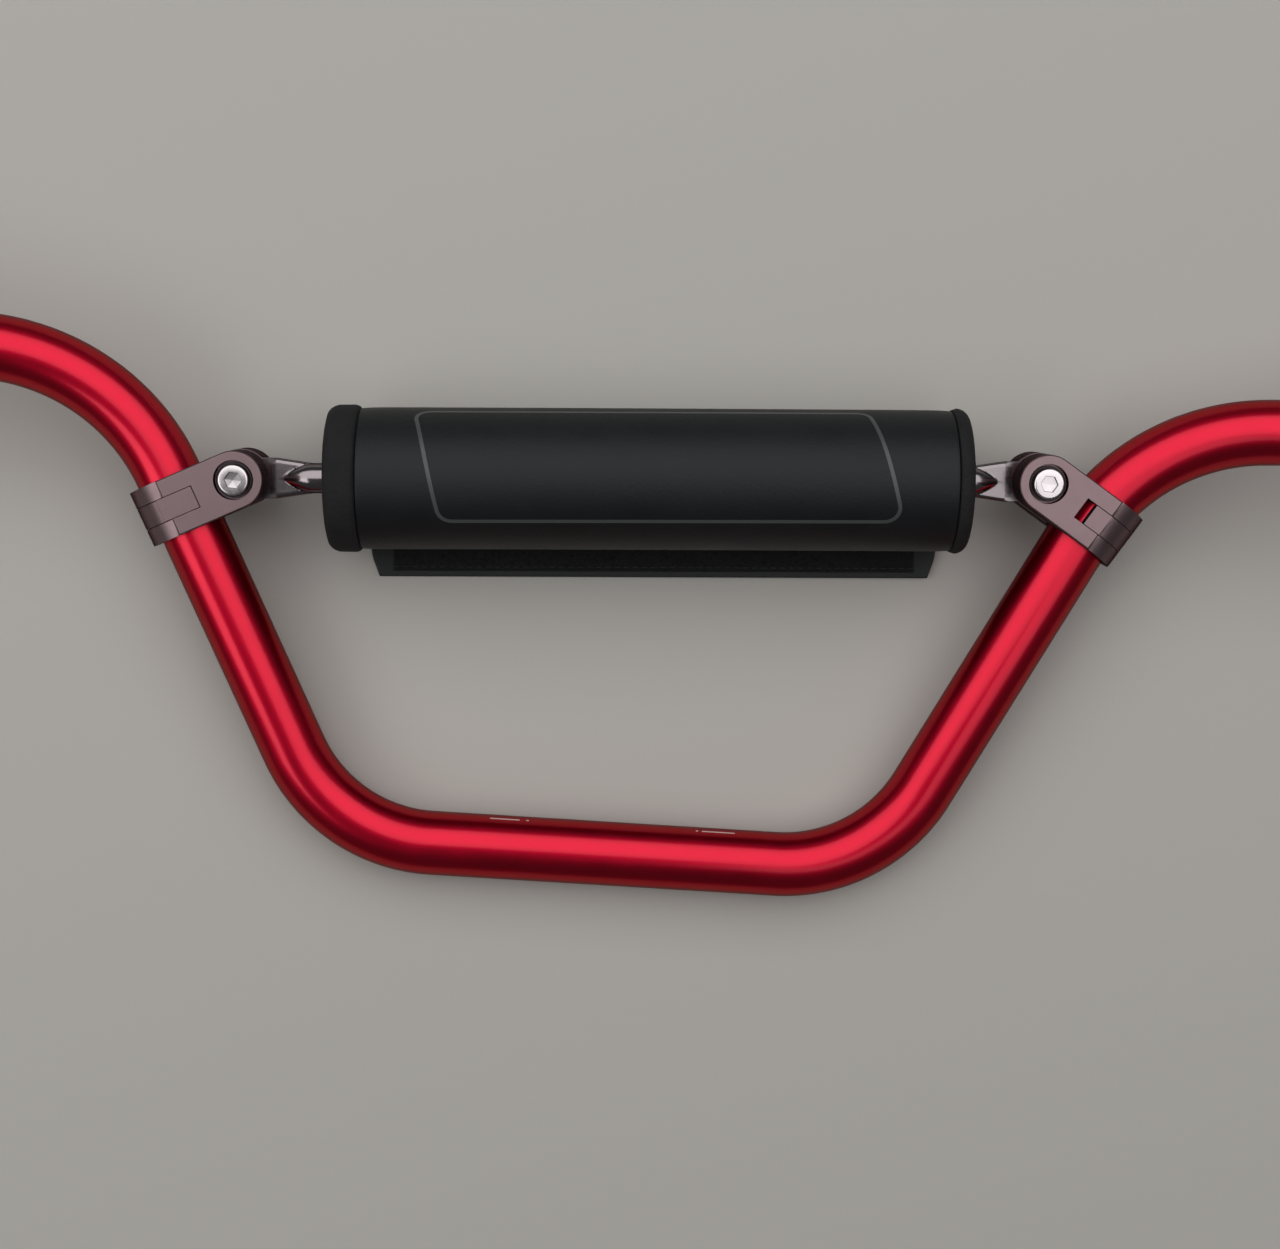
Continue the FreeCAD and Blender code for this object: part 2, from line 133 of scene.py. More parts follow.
TO_FLOOR = Matrix.Rotation(REST_TILT, 4, "X")
CROSSBAR = TO_FLOOR @ crossbar_in_plane
PAD = CROSSBAR @ Matrix.Rotation(-REST_TILT, 4, "X")
CLAMP = {
    "left": TO_FLOOR @ frame_at(left_centre, left_inward),
    "right": TO_FLOOR @ frame_at(right_centre, right_inward),
}
print("tilt", round(degrees(REST_TILT), 3), "bolt spacing", round(BOLT_SPACING / MM, 2))

# %% [markdown]
# ## Helpers for every piece
#
# A mesh is points and faces. Most pieces here are rings of points joined by quads, so one
# function makes those quads. A second turns points into an object that lies where its
# frame puts it, with its faces outwards and its edges sharp only where they are on the
# real part. A third adds a shader or geometry node with its settings and links. The rest
# turn hex colours to linear ones, millimetres to noise scales and values to a material.


# %% Helpers
def ring_faces(rings, columns, closed_rings=True, closed_columns=True):
    """Quads between neighbouring rings of points that follow each other in a list."""
    faces = []
    last_ring = rings if closed_rings else rings - 1
    last_column = columns if closed_columns else columns - 1
    for ring in range(last_ring):
        above = (ring + 1) % rings
        for column in range(last_column):
            beside = (column + 1) % columns
            faces.append((
                ring * columns + column,
                ring * columns + beside,
                above * columns + beside,
                above * columns + column,
            ))
    return faces


def new_piece(name, points, faces, place, finishes, sharp_angle=35):
    """A finished piece from points in its own frame."""
    mesh = bpy.data.meshes.new(name)
    mesh.from_pydata([place @ Vector(point) for point in points], [], faces)
    shape = bmesh.new()
    shape.from_mesh(mesh)
    bmesh.ops.recalc_face_normals(shape, faces=shape.faces)
    shape.to_mesh(mesh)
    shape.free()
    for finish in finishes:
        mesh.materials.append(finish)
    mesh.shade_smooth()
    mesh.set_sharp_from_angle(angle=radians(sharp_angle))
    piece = bpy.data.objects.new(name, mesh)
    bpy.context.scene.collection.objects.link(piece)
    return piece


def add_node(tree, kind, inputs=None, **settings):
    """Add a node, set its properties, and set or link its inputs by name or number."""
    node = tree.nodes.new(kind)
    for name, value in settings.items():
        setattr(node, name, value)
    for name, value in (inputs or {}).items():
        if isinstance(value, bpy.types.NodeSocket):
            tree.links.new(value, node.inputs[name])
        else:
            node.inputs[name].default_value = value
    return node


def hex_colour(code):
    """Linear RGBA from an sRGB hex code."""
    channels = [int(code[i:i + 2], 16) / 255 for i in (1, 3, 5)]
    linear = [c / 12.92 if c <= 0.04045 else ((c + 0.055) / 1.055) ** 2.4 for c in channels]
    return (*linear, 1)


def grain_scale(size_mm):
    """Noise scale whose features are about this many millimetres wide."""
    return 1 / (size_mm * MM)


def new_finish(name, **values):
    """A material with one Principled shader. Returns the material, its tree and shader."""
    finish = bpy.data.materials.new(name)
    finish.use_nodes = True
    tree = finish.node_tree
    shader = tree.nodes["Principled BSDF"]
    for socket, value in values.items():
        shader.inputs[socket.replace("_", " ")].default_value = value
    return finish, tree, shader


# %% [markdown]
# ## Satin red anodised aluminium
#
# The tube is drawn, brushed and dyed in its oxide layer. The dye tints the metal's own
# reflection, so a metallic shader with a deep red base does that. The clear oxide over it
# is a thin coat that adds a little white to the highlight. Near the silhouette light runs
# further through the dye, and the metal goes almost black: a dark specular tint does that.
# Real grain is finer than a pixel, so it is drawn 0.45 mm wide to break up the highlight,
# and the lengthwise lines that drawing leaves are drawn 0.5 mm apart.

# %% The tube's finish
def anodised_aluminium():
    finish, tree, shader = new_finish(
        "satin_red_anodised_aluminium",
        Base_Color=hex_colour("#C4082C"),
        Metallic=1.0,
        Roughness=0.34,
        Specular_Tint=hex_colour("#1E0408"),
        Coat_Weight=0.3,
        Coat_Roughness=0.16,
        Coat_IOR=1.6,
    )
    place = add_node(tree, "ShaderNodeTexCoord").outputs["Object"]
    grain = add_node(tree, "ShaderNodeTexNoise", {
        "Vector": place, "Scale": grain_scale(0.45), "Detail": 2.0,
    })
    patches = add_node(tree, "ShaderNodeTexNoise", {
        "Vector": place, "Scale": grain_scale(9), "Detail": 2.0,
    })
    roughness = add_node(tree, "ShaderNodeMapRange", {
        "Value": patches.outputs["Fac"], "To Min": 0.3, "To Max": 0.38,
    })
    run = add_node(tree, "ShaderNodeUVMap", uv_map="run")
    stretch = add_node(tree, "ShaderNodeMapping", {
        "Vector": run.outputs["UV"],
        "Scale": (grain_scale(60), grain_scale(0.5), 1),
    })
    lines = add_node(tree, "ShaderNodeTexNoise", {"Vector": stretch.outputs[0], "Scale": 1.0})
    grain_bump = add_node(tree, "ShaderNodeBump", {
        "Strength": 0.12, "Distance": 0.00005, "Height": grain.outputs["Fac"],
    })
    line_bump = add_node(tree, "ShaderNodeBump", {
        "Strength": 0.1, "Distance": 0.00003, "Height": lines.outputs["Fac"],
        "Normal": grain_bump.outputs[0],
    })
    tree.links.new(roughness.outputs[0], shader.inputs["Roughness"])
    tree.links.new(line_bump.outputs[0], shader.inputs["Normal"])
    return finish


def etched_aluminium():
    """Where the laser took the dye off: pale bare oxide, matt."""
    return new_finish(
        "laser_etched_aluminium",
        Base_Color=hex_colour("#E3C4C2"),
        Metallic=0.6,
        Roughness=0.55,
    )[0]


RED_ANODISED = anodised_aluminium()
ETCHED = etched_aluminium()
print("finishes:", RED_ANODISED.name, ETCHED.name)

# %% [markdown]
# ## The bent tube
#
# On the real bar one length of tube is bent four times. A CAD export shows facets on the
# bends, so the tube is swept again here, with a ring of points every two degrees of bend.
# The ring's frame is turned along with the path, so the points run straight along the
# tube and never twist. The wall has a bore, and both ends have a turned chamfer. The laser
# marks that centre the bar in its clamps are faces of the tube itself with their own finish.

# %% The tube's path
BEND_STEP = radians(2)
END_CHAMFER = 0.6 * MM
TUBE_COLUMNS = 90
MARK_COLUMN = 63
LEFT_MARKS = ((-40.1, -29.9), (-27.6, -26.7))
RIGHT_MARKS = ((31.3, 32.1), (33.4, 44.8))


def right_half_stations():
    """Point, direction and normal at each ring of the right half of the bar."""
    stations = []
    direction = Vector((1, 0, 0))
    normal = Vector((0, 0, 1))
    bends = (
        (bottom_corner, upright, BOTTOM_BEND_RADIUS),
        (top_corner, grip, TOP_BEND_RADIUS),
    )
    for corner, after, radius in bends:
        turn = direction.angle(after)
        axis = direction.cross(after).normalized()
        start = corner - direction * radius * tan(turn / 2)
        centre = start + axis.cross(direction) * radius
        steps = ceil(turn / BEND_STEP)
        for step in range(steps + 1):
            bent = Matrix.Rotation(turn * step / steps, 3, axis)
            stations.append((centre + bent @ (start - centre), bent @ direction, bent @ normal))
        direction = stations[-1][1]
        normal = stations[-1][2]
    stations.append((grip_end - grip * END_CHAMFER, grip, normal))
    return stations


def mirrored_station(station):
    """The same ring on the left half of the bar."""
    point, direction, normal = station
    return (
        Vector((-point.x, point.y, point.z)),
        Vector((direction.x, -direction.y, -direction.z)),
        Vector((-normal.x, normal.y, normal.z)),
    )


def bottom_run_stations():
    """Rings where the etched marks start and end."""
    edges = sorted(x for mark in LEFT_MARKS + RIGHT_MARKS for x in mark)
    return [(Vector((x * MM, 0, 0)), Vector((1, 0, 0)), Vector((0, 0, 1))) for x in edges]


right_half = right_half_stations()
left_half = [mirrored_station(station) for station in reversed(right_half)]
stations = left_half + bottom_run_stations() + right_half
print("rings along the tube:", len(stations))


# %% The tube's mesh
def ring_of_points(station, radius, columns):
    """A ring round the path, starting on the floor side so that the seam is hidden."""
    point, direction, normal = station
    across = direction.cross(normal)
    ring = []
    for column in range(columns):
        angle = 2 * pi * column / columns
        ring.append(point - normal * radius * cos(angle) + across * radius * sin(angle))
    return ring


def moved(station, distance):
    """A station shifted along its own direction."""
    point, direction, normal = station
    return (point + direction * distance, direction, normal)


def tube_rings():
    """Outer rings from left to right, then the bore's rings back."""
    left_end = moved(stations[0], -END_CHAMFER)
    right_end = moved(stations[-1], END_CHAMFER)
    outside = [(station, BAR_RADIUS) for station in stations]
    bore = [(station, BORE_RADIUS) for station in reversed(stations)]
    return (
        [(left_end, BAR_RADIUS - END_CHAMFER)] + outside
        + [(right_end, BAR_RADIUS - END_CHAMFER), (right_end, BORE_RADIUS + END_CHAMFER / 2)]
        + bore + [(left_end, BORE_RADIUS + END_CHAMFER / 2)]
    )


def give_run_map(piece, columns):
    """A UV map in metres: along the tube, and round it."""
    path = [0.0]
    for before, after in zip(stations, stations[1:]):
        path.append(path[-1] + (after[0] - before[0]).length)
    along = [path[0]] + path + [path[-1], path[-1]] + path[::-1] + [path[0]]
    layer = piece.data.uv_layers.new(name="run")
    for polygon in piece.data.polygons:
        at_seam = any(vertex % columns == columns - 1 for vertex in polygon.vertices)
        for loop in polygon.loop_indices:
            vertex = piece.data.loops[loop].vertex_index
            column = vertex % columns
            if at_seam and column == 0:
                column = columns
            layer.data[loop].uv = (along[vertex // columns], 2 * pi * BAR_RADIUS * column / columns)


def etch_marks(piece, columns):
    """Give the outer faces inside each mark the etched finish, and not the bore's."""
    outside_from = BAR_RADIUS * 0.9
    inside = 0
    for polygon in piece.data.polygons:
        if {v % columns for v in polygon.vertices} != {MARK_COLUMN, MARK_COLUMN + 1}:
            continue
        middle = polygon.center
        on_bottom_run = (middle - Vector((middle.x, 0, 0))).length > outside_from
        for start, end in LEFT_MARKS + RIGHT_MARKS:
            if on_bottom_run and start * MM < middle.x < end * MM:
                polygon.material_index = 1
                inside += 1
    print("etched faces:", inside)


def make_tube():
    rings = tube_rings()
    points = []
    for station, radius in rings:
        points += ring_of_points(station, radius, TUBE_COLUMNS)
    faces = ring_faces(len(rings), TUBE_COLUMNS)
    tube = new_piece("red_tube", points, faces, TO_FLOOR, [RED_ANODISED, ETCHED])
    give_run_map(tube, TUBE_COLUMNS)
    etch_marks(tube, TUBE_COLUMNS)
    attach(tube, "root")
    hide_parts("handlebar_tube")
    return tube


tube = make_tube()
print("tube faces:", len(tube.data.polygons))

# %% [markdown]
# ## Metals of the crossbar and its clamps
#
# The clamps are cast in zinc-aluminium alloy and tumbled: a warm grey, faintly grainy
# metal. The crossbar is zinc-coated steel, smoother. The bolts are bright zinc plate over
# steel. Their washers and nuts are the same plate painted dark: painted shade for the shaded
# gap round each bolt head. All are darker where they are seen edge on. Their grain is drawn
# 0.3 to 0.5 mm wide, which is about a pixel.


# %% Cast, coated and plated metal
def grained_metal(name, colour, edge_colour, roughness, grain_mm, strength):
    """A metal whose surface has fine grain of one size, darker where it is seen edge on."""
    finish, tree, shader = new_finish(
        name,
        Base_Color=hex_colour(colour),
        Specular_Tint=hex_colour(edge_colour),
        Metallic=1.0,
        Roughness=roughness,
    )
    place = add_node(tree, "ShaderNodeTexCoord").outputs["Object"]
    grain = add_node(tree, "ShaderNodeTexNoise", {
        "Vector": place, "Scale": grain_scale(grain_mm), "Detail": 3.0,
    })
    patches = add_node(tree, "ShaderNodeTexNoise", {
        "Vector": place, "Scale": grain_scale(grain_mm * 8), "Detail": 2.0,
    })
    spread = add_node(tree, "ShaderNodeMapRange", {
        "Value": patches.outputs["Fac"],
        "To Min": roughness - 0.06,
        "To Max": roughness + 0.06,
    })
    bump = add_node(tree, "ShaderNodeBump", {
        "Strength": strength, "Distance": 0.0001, "Height": grain.outputs["Fac"],
    })
    tree.links.new(spread.outputs[0], shader.inputs["Roughness"])
    tree.links.new(bump.outputs[0], shader.inputs["Normal"])
    return finish


CAST_ALLOY = grained_metal("tumbled_cast_alloy", "#847073", "#2A2224", 0.38, 0.5, 0.25)
COATED_STEEL = grained_metal("dark_zinc_coated_steel", "#8C8487", "#342E30", 0.18, 0.4, 0.1)
ZINC_PLATE = grained_metal("bright_zinc_plated_steel", "#D2CBCD", "#8A8284", 0.22, 0.3, 0.08)
# Washers and nuts: the same zinc plate painted dark, as painted shade for the shaded gap round each
# bolt head.
SHADE_DARKENED_PLATE = grained_metal("zinc_plate_darkened_as_shade", "#4A4445", "#2A2626", 0.5, 0.3, 0.2)
print("finishes:", CAST_ALLOY.name, COATED_STEEL.name, ZINC_PLATE.name, SHADE_DARKENED_PLATE.name)

# %% [markdown]
# ## The clamps, washers and nuts
#
# The CAD solids have the right shape, but a machined or cast edge is never perfectly
# sharp: its small radius catches the light as a thin bright line. A copy of each CAD mesh
# is welded, its flat facets are joined, and a Bevel modifier breaks the edges.


# %% Pieces with broken edges
CAST_EDGE = 0.45 * MM
PLATED_EDGE = 0.15 * MM
WELD_DISTANCE = 0.001 * MM
FLAT_WITHIN = radians(0.5)
SHARP_FROM = radians(30)
BROKEN_FROM = radians(40)


def edge_broken_copy(node_name, name, width, finish):
    """A welded copy of a CAD node with its sharp edges rounded."""
    shape = bmesh.new()
    shape.from_mesh(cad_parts[node_name].data)
    bmesh.ops.remove_doubles(shape, verts=shape.verts, dist=WELD_DISTANCE)
    bmesh.ops.dissolve_limit(
        shape, angle_limit=FLAT_WITHIN, verts=shape.verts, edges=shape.edges,
    )
    mesh = bpy.data.meshes.new(name)
    shape.to_mesh(mesh)
    shape.free()
    mesh.materials.append(finish)
    mesh.shade_smooth()
    mesh.set_sharp_from_angle(angle=SHARP_FROM)
    piece = bpy.data.objects.new(name, mesh)
    bpy.context.scene.collection.objects.link(piece)
    edges = piece.modifiers.new("broken_edges", "BEVEL")
    edges.width = width
    edges.segments = 2
    edges.limit_method = "ANGLE"
    edges.angle_limit = BROKEN_FROM
    edges.harden_normals = True
    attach(piece, "root")
    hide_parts(node_name)
    return piece


for side in ("left", "right"):
    for half in ("upper", "lower"):
        node_name = side + "_clamp_" + half
        edge_broken_copy(node_name, node_name + "_cast", CAST_EDGE, CAST_ALLOY)
    # Washers and nuts take the plate that is painted dark as painted shade.
    for part in ("washer", "nut"):
        node_name = side + "_clamp_" + part
        edge_broken_copy(
            node_name, node_name + "_plated", PLATED_EDGE, SHADE_DARKENED_PLATE,
        )
print("edges broken by", CAST_EDGE / MM, "mm on castings and", PLATED_EDGE / MM, "on plate")

# %% [markdown]
# ## The bolts
#
# A cap bolt is turned: its outline from the tip to the socket, spun about its axis, makes
# it. The rings inside the head change from round to hexagonal for the socket. The thread
# is a stack of ridges as fine as the real pitch, seen only at the nut. These sizes are
# plain millimetres, and the points are scaled when they are made.

# %% Turned bolts
BOLT_COLUMNS = 72
CLAMP_HALF_HEIGHT = 14.8
HEAD_HEIGHT = 3.3
HEAD_PROUD = 1.0
HEAD_RADIUS = 5.3
HEAD_EDGE = 0.1
RIM = 0.9
RIM_STEPS = 5
BOLT_LENGTH = 25.0
SHANK_RADIUS = 3.0
THREAD_CREST = 2.95
THREAD_ROOT = 2.5
THREAD_PITCH = 1.0
THREAD_TURNS = 14
RIDGE_FOOT = 0.1
RIDGE_CREST = 0.5
TIP_BREAK = 0.1
TIP_LENGTH = 0.3
SOCKET_FLATS = 5.0
SOCKET_DEPTH = 1.0
SOCKET_CHAMFER = 0.15
SOCKET_CONE = 0.2
POLE_RADIUS = 0.01
BOLT_SEAT = CLAMP_HALF_HEIGHT + HEAD_PROUD - HEAD_HEIGHT
BOLT_END = BOLT_SEAT - BOLT_LENGTH
HEAD_TOP = BOLT_SEAT + HEAD_HEIGHT
THREAD_START = BOLT_END + TIP_LENGTH
THREAD_END = BOLT_END + RIDGE_CREST + THREAD_TURNS * THREAD_PITCH


def hexagon_radius(angle, across_flats):
    """Distance from the middle of a hexagon to its side in one direction."""
    off_flat = (angle + radians(30)) % radians(60) - radians(30)
    return across_flats / 2 / cos(off_flat)


def bolt_outline():
    """Radius and height of each ring, and whether it is a hexagon."""
    rings = [
        (POLE_RADIUS, BOLT_END, False),
        (THREAD_ROOT - TIP_BREAK, BOLT_END, False),
        (THREAD_ROOT, THREAD_START, False),
    ]
    for turn in range(THREAD_TURNS):
        height = THREAD_START + turn * THREAD_PITCH
        rings.append((THREAD_ROOT, height + RIDGE_FOOT, False))
        rings.append((THREAD_CREST, height + RIDGE_CREST, False))
    rings.append((SHANK_RADIUS, THREAD_END, False))
    rings.append((SHANK_RADIUS, BOLT_SEAT, False))
    rings.append((HEAD_RADIUS - HEAD_EDGE, BOLT_SEAT, False))
    rings.append((HEAD_RADIUS, BOLT_SEAT + HEAD_EDGE, False))
    for step in range(RIM_STEPS + 1):
        angle = radians(90 * step / RIM_STEPS)
        rings.append((
            HEAD_RADIUS - RIM * (1 - cos(angle)),
            HEAD_TOP - RIM * (1 - sin(angle)),
            False,
        ))
    rings.append((SOCKET_FLATS + 2 * SOCKET_CHAMFER, HEAD_TOP, True))
    rings.append((SOCKET_FLATS, HEAD_TOP - SOCKET_CHAMFER, True))
    rings.append((SOCKET_FLATS, HEAD_TOP - SOCKET_DEPTH, True))
    rings.append((POLE_RADIUS, HEAD_TOP - SOCKET_DEPTH - SOCKET_CONE, False))
    return rings


def make_bolt(side):
    points = []
    rings = bolt_outline()
    for size, height, hexagonal in rings:
        for column in range(BOLT_COLUMNS):
            angle = 2 * pi * column / BOLT_COLUMNS
            radius = hexagon_radius(angle, size) if hexagonal else size
            point = Vector((radius * cos(angle), radius * sin(angle), height)) * MM
            points.append(point + Vector((CLAMP_REACH, 0, 0)))
    faces = ring_faces(len(rings), BOLT_COLUMNS, closed_rings=False)
    last = (len(rings) - 1) * BOLT_COLUMNS
    faces.append(tuple(range(BOLT_COLUMNS)))
    faces.append(tuple(range(last, last + BOLT_COLUMNS)))
    bolt = new_piece(side + "_bolt", points, faces, CLAMP[side], [ZINC_PLATE], sharp_angle=30)
    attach(bolt, "root")
    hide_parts(side + "_clamp_bolt")
    return bolt


for side in ("left", "right"):
    bolt = make_bolt(side)
    print(bolt.name, "faces", len(bolt.data.polygons))

# %% [markdown]
# ## The crossbar
#
# The real one is a round tube pressed flat at both ends. Pressing leaves a wide flat tab,
# and the round barrel runs out over it in a V. Each ring here is the higher of two
# outlines, the tab's and the barrel's, and as the barrel shrinks towards the bolt the V
# appears where the two meet, as it does in the press. These sizes are plain millimetres.

# %% The crossbar's sections
CROSSBAR_RADIUS = 5.1
TAB_HALF_WIDTH = 6.9
TAB_HALF = 1.5
TAB_STRAIGHT = 12.5
SQUASH_START = 14.5
SQUASH_END = 24.5
TAB_INSIDE = 10.0
TAB_EDGE = 0.5
BOLT_HOLE_RADIUS = 3.2
V_SHARPNESS = 1.15
V_STEPS = 40
SECTION_COLUMNS = 80


def section_at(distance):
    """Half width and barrel radius, a distance in mm from the bolt."""
    taper = min(max(distance - TAB_STRAIGHT, 0) / (SQUASH_END - TAB_STRAIGHT), 1)
    width = TAB_HALF_WIDTH + (CROSSBAR_RADIUS - TAB_HALF_WIDTH) * taper
    grown = min(max(distance - SQUASH_START, 0) / (SQUASH_END - SQUASH_START), 1)
    barrel = TAB_HALF + (CROSSBAR_RADIUS - TAB_HALF) * sin(grown * pi / 2) ** V_SHARPNESS
    return width, min(barrel, width)


def section_height(across, width, barrel):
    """Half height of the section at one place across it: the tab or the barrel."""
    edge = max(abs(across) - (width - TAB_HALF), 0)
    tab = sqrt(max(TAB_HALF ** 2 - edge ** 2, 0))
    round_part = sqrt(max(barrel ** 2 - across ** 2, 0))
    return max(tab, round_part)


def crossbar_stations():
    """Distances along the crossbar in mm: close together where its ends are pressed."""
    length = BOLT_SPACING / MM
    near = [TAB_INSIDE, TAB_STRAIGHT]
    pressed = SQUASH_END - SQUASH_START
    near += [SQUASH_START + pressed * step / V_STEPS for step in range(V_STEPS + 1)]
    return near + [length - x for x in reversed(near)]


def barrel_points():
    """The barrel's rings, with their tab-like ends, in the crossbar's frame."""
    points = []
    length = BOLT_SPACING / MM
    for x in crossbar_stations():
        width, barrel = section_at(min(x, length - x))
        for column in range(SECTION_COLUMNS):
            angle = 2 * pi * column / SECTION_COLUMNS
            across = width * cos(angle)
            height = section_height(across, width, barrel)
            points.append((x * MM, across * MM, (height if sin(angle) >= 0 else -height) * MM))
    return points


def tab_points(far):
    """The drilled tab: rings from the hole's top edge, round the outline, to its lower edge."""
    rings = (
        ("hole", 0, TAB_HALF), ("outline", TAB_EDGE, TAB_HALF),
        ("outline", 0, TAB_HALF - TAB_EDGE), ("outline", 0, TAB_EDGE - TAB_HALF),
        ("outline", TAB_EDGE, -TAB_HALF), ("hole", 0, -TAB_HALF),
    )
    points = []
    for kind, inset, height in rings:
        for column in range(SECTION_COLUMNS):
            angle = 2 * pi * column / SECTION_COLUMNS
            reach = BOLT_HOLE_RADIUS
            if kind == "outline":
                reach = TAB_HALF_WIDTH
                if cos(angle) > 0:
                    to_side = TAB_HALF_WIDTH / max(abs(sin(angle)), 1e-6)
                    reach = min(to_side, TAB_STRAIGHT / cos(angle))
                reach -= inset
            x = reach * cos(angle)
            y = reach * sin(angle)
            if far:
                x = BOLT_SPACING / MM - x
                y = -y
            points.append((x * MM, y * MM, height * MM))
    return points, ring_faces(len(rings), SECTION_COLUMNS)


# %% The crossbar's mesh
def make_crossbar():
    points = barrel_points()
    rings = len(crossbar_stations())
    faces = ring_faces(rings, SECTION_COLUMNS, closed_rings=False)
    last = (rings - 1) * SECTION_COLUMNS
    faces.append(tuple(range(SECTION_COLUMNS)))
    faces.append(tuple(range(last, last + SECTION_COLUMNS)))
    for far in (False, True):
        tab, tab_faces = tab_points(far)
        shift = len(points)
        points += tab
        faces += [tuple(v + shift for v in face) for face in tab_faces]
    crossbar = new_piece(
        "pressed_crossbar", points, faces, CROSSBAR, [COATED_STEEL], sharp_angle=28,
    )
    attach(crossbar, "root")
    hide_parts("crossbar_tube")
    return crossbar


crossbar = make_crossbar()
print("crossbar faces:", len(crossbar.data.polygons))

# %% [markdown]
# ## Foam, vinyl and hook-and-loop tape
#
# The core is closed-cell foam, black with a matt, finely pitted skin. The wrap is
# black vinyl on cloth, embossed with a fine leather grain and a little glossy. The two
# tapes are woven nylon, almost without shine. Cells, grain and threads are drawn 0.5 to
# 1.1 mm wide, so that they are a little coarser than a pixel.


# %% Soft finishes
def foam_finish():
    finish, tree, shader = new_finish(
        "closed_cell_foam",
        Roughness=0.85,
        Specular_IOR_Level=0.3,
    )
    place = add_node(tree, "ShaderNodeTexCoord").outputs["Object"]
    cells = add_node(tree, "ShaderNodeTexVoronoi", {"Vector": place, "Scale": grain_scale(1.1)})
    blotches = add_node(tree, "ShaderNodeTexNoise", {"Vector": place, "Scale": grain_scale(6)})
    shade = add_node(tree, "ShaderNodeValToRGB", {"Fac": blotches.outputs["Fac"]})
    shade.color_ramp.elements[0].color = hex_colour("#101012")
    shade.color_ramp.elements[1].color = hex_colour("#1C1C1E")
    bump = add_node(tree, "ShaderNodeBump", {
        "Strength": 0.35, "Distance": 0.0004, "Height": cells.outputs["Distance"],
    })
    tree.links.new(shade.outputs["Color"], shader.inputs["Base Color"])
    tree.links.new(bump.outputs[0], shader.inputs["Normal"])
    return finish


def vinyl_finish():
    finish, tree, shader = new_finish(
        "leather_grained_vinyl",
        Roughness=0.52,
        Specular_IOR_Level=0.3,
    )
    place = add_node(tree, "ShaderNodeTexCoord").outputs["Object"]
    grain = add_node(tree, "ShaderNodeTexVoronoi", {"Vector": place, "Scale": grain_scale(0.9)})
    weave = add_node(tree, "ShaderNodeTexNoise", {
        "Vector": place, "Scale": grain_scale(0.5), "Detail": 3.0,
    })
    wear = add_node(tree, "ShaderNodeTexNoise", {
        "Vector": place, "Scale": grain_scale(18), "Detail": 4.0,
    })
    shade = add_node(tree, "ShaderNodeValToRGB", {"Fac": wear.outputs["Fac"]})
    shade.color_ramp.elements[0].color = hex_colour("#080A0C")
    shade.color_ramp.elements[1].color = hex_colour("#111518")
    shine = add_node(tree, "ShaderNodeMapRange", {
        "Value": wear.outputs["Fac"], "To Min": 0.46, "To Max": 0.58,
    })
    leather = add_node(tree, "ShaderNodeBump", {
        "Strength": 0.22, "Distance": 0.0002, "Height": grain.outputs["Distance"],
    })
    fine = add_node(tree, "ShaderNodeBump", {
        "Strength": 0.15, "Distance": 0.0001, "Height": weave.outputs["Fac"],
        "Normal": leather.outputs[0],
    })
    tree.links.new(shade.outputs["Color"], shader.inputs["Base Color"])
    tree.links.new(shine.outputs[0], shader.inputs["Roughness"])
    tree.links.new(fine.outputs[0], shader.inputs["Normal"])
    return finish


def nylon_finish(name, colour):
    finish, tree, shader = new_finish(
        name,
        Base_Color=hex_colour(colour),
        Roughness=0.8,
        Specular_IOR_Level=0.25,
    )
    place = add_node(tree, "ShaderNodeTexCoord").outputs["Object"]
    threads = add_node(tree, "ShaderNodeTexNoise", {"Vector": place, "Scale": grain_scale(0.6)})
    bump = add_node(tree, "ShaderNodeBump", {
        "Strength": 0.5, "Distance": 0.0003, "Height": threads.outputs["Fac"],
    })
    tree.links.new(bump.outputs[0], shader.inputs["Normal"])
    return finish


FOAM = foam_finish()
VINYL = vinyl_finish()
TAPE = nylon_finish("woven_nylon_tape", "#111113")
THREAD = nylon_finish("bonded_nylon_thread", "#2E2E31")
PRINT_INK = new_finish(
    "screen_printed_grey_ink", Base_Color=hex_colour("#3E4242"), Roughness=0.4,
)[0]
print("finishes:", FOAM.name, VINYL.name, TAPE.name, THREAD.name, PRINT_INK.name)

# %% [markdown]
# ## Letting soft pieces swell
#
# Foam and its wrap are never quite as drawn: they swell where nothing holds them. A cloth
# simulation with some pressure and no gravity does that. A tube this thin and stiff needs
# far more pressure than a cushion before it moves at all. The points that are sewn, glued
# or pressed are pinned, and no point may move further than the real piece would.


# %% A short cloth simulation
POINT_MASS = 0.01
STRETCH_STIFFNESS = 2.0
BENDING_STIFFNESS = 0.001
PRESSURE = 300.0
SOLVER_STEPS = 5
LAST_FRAME = 20


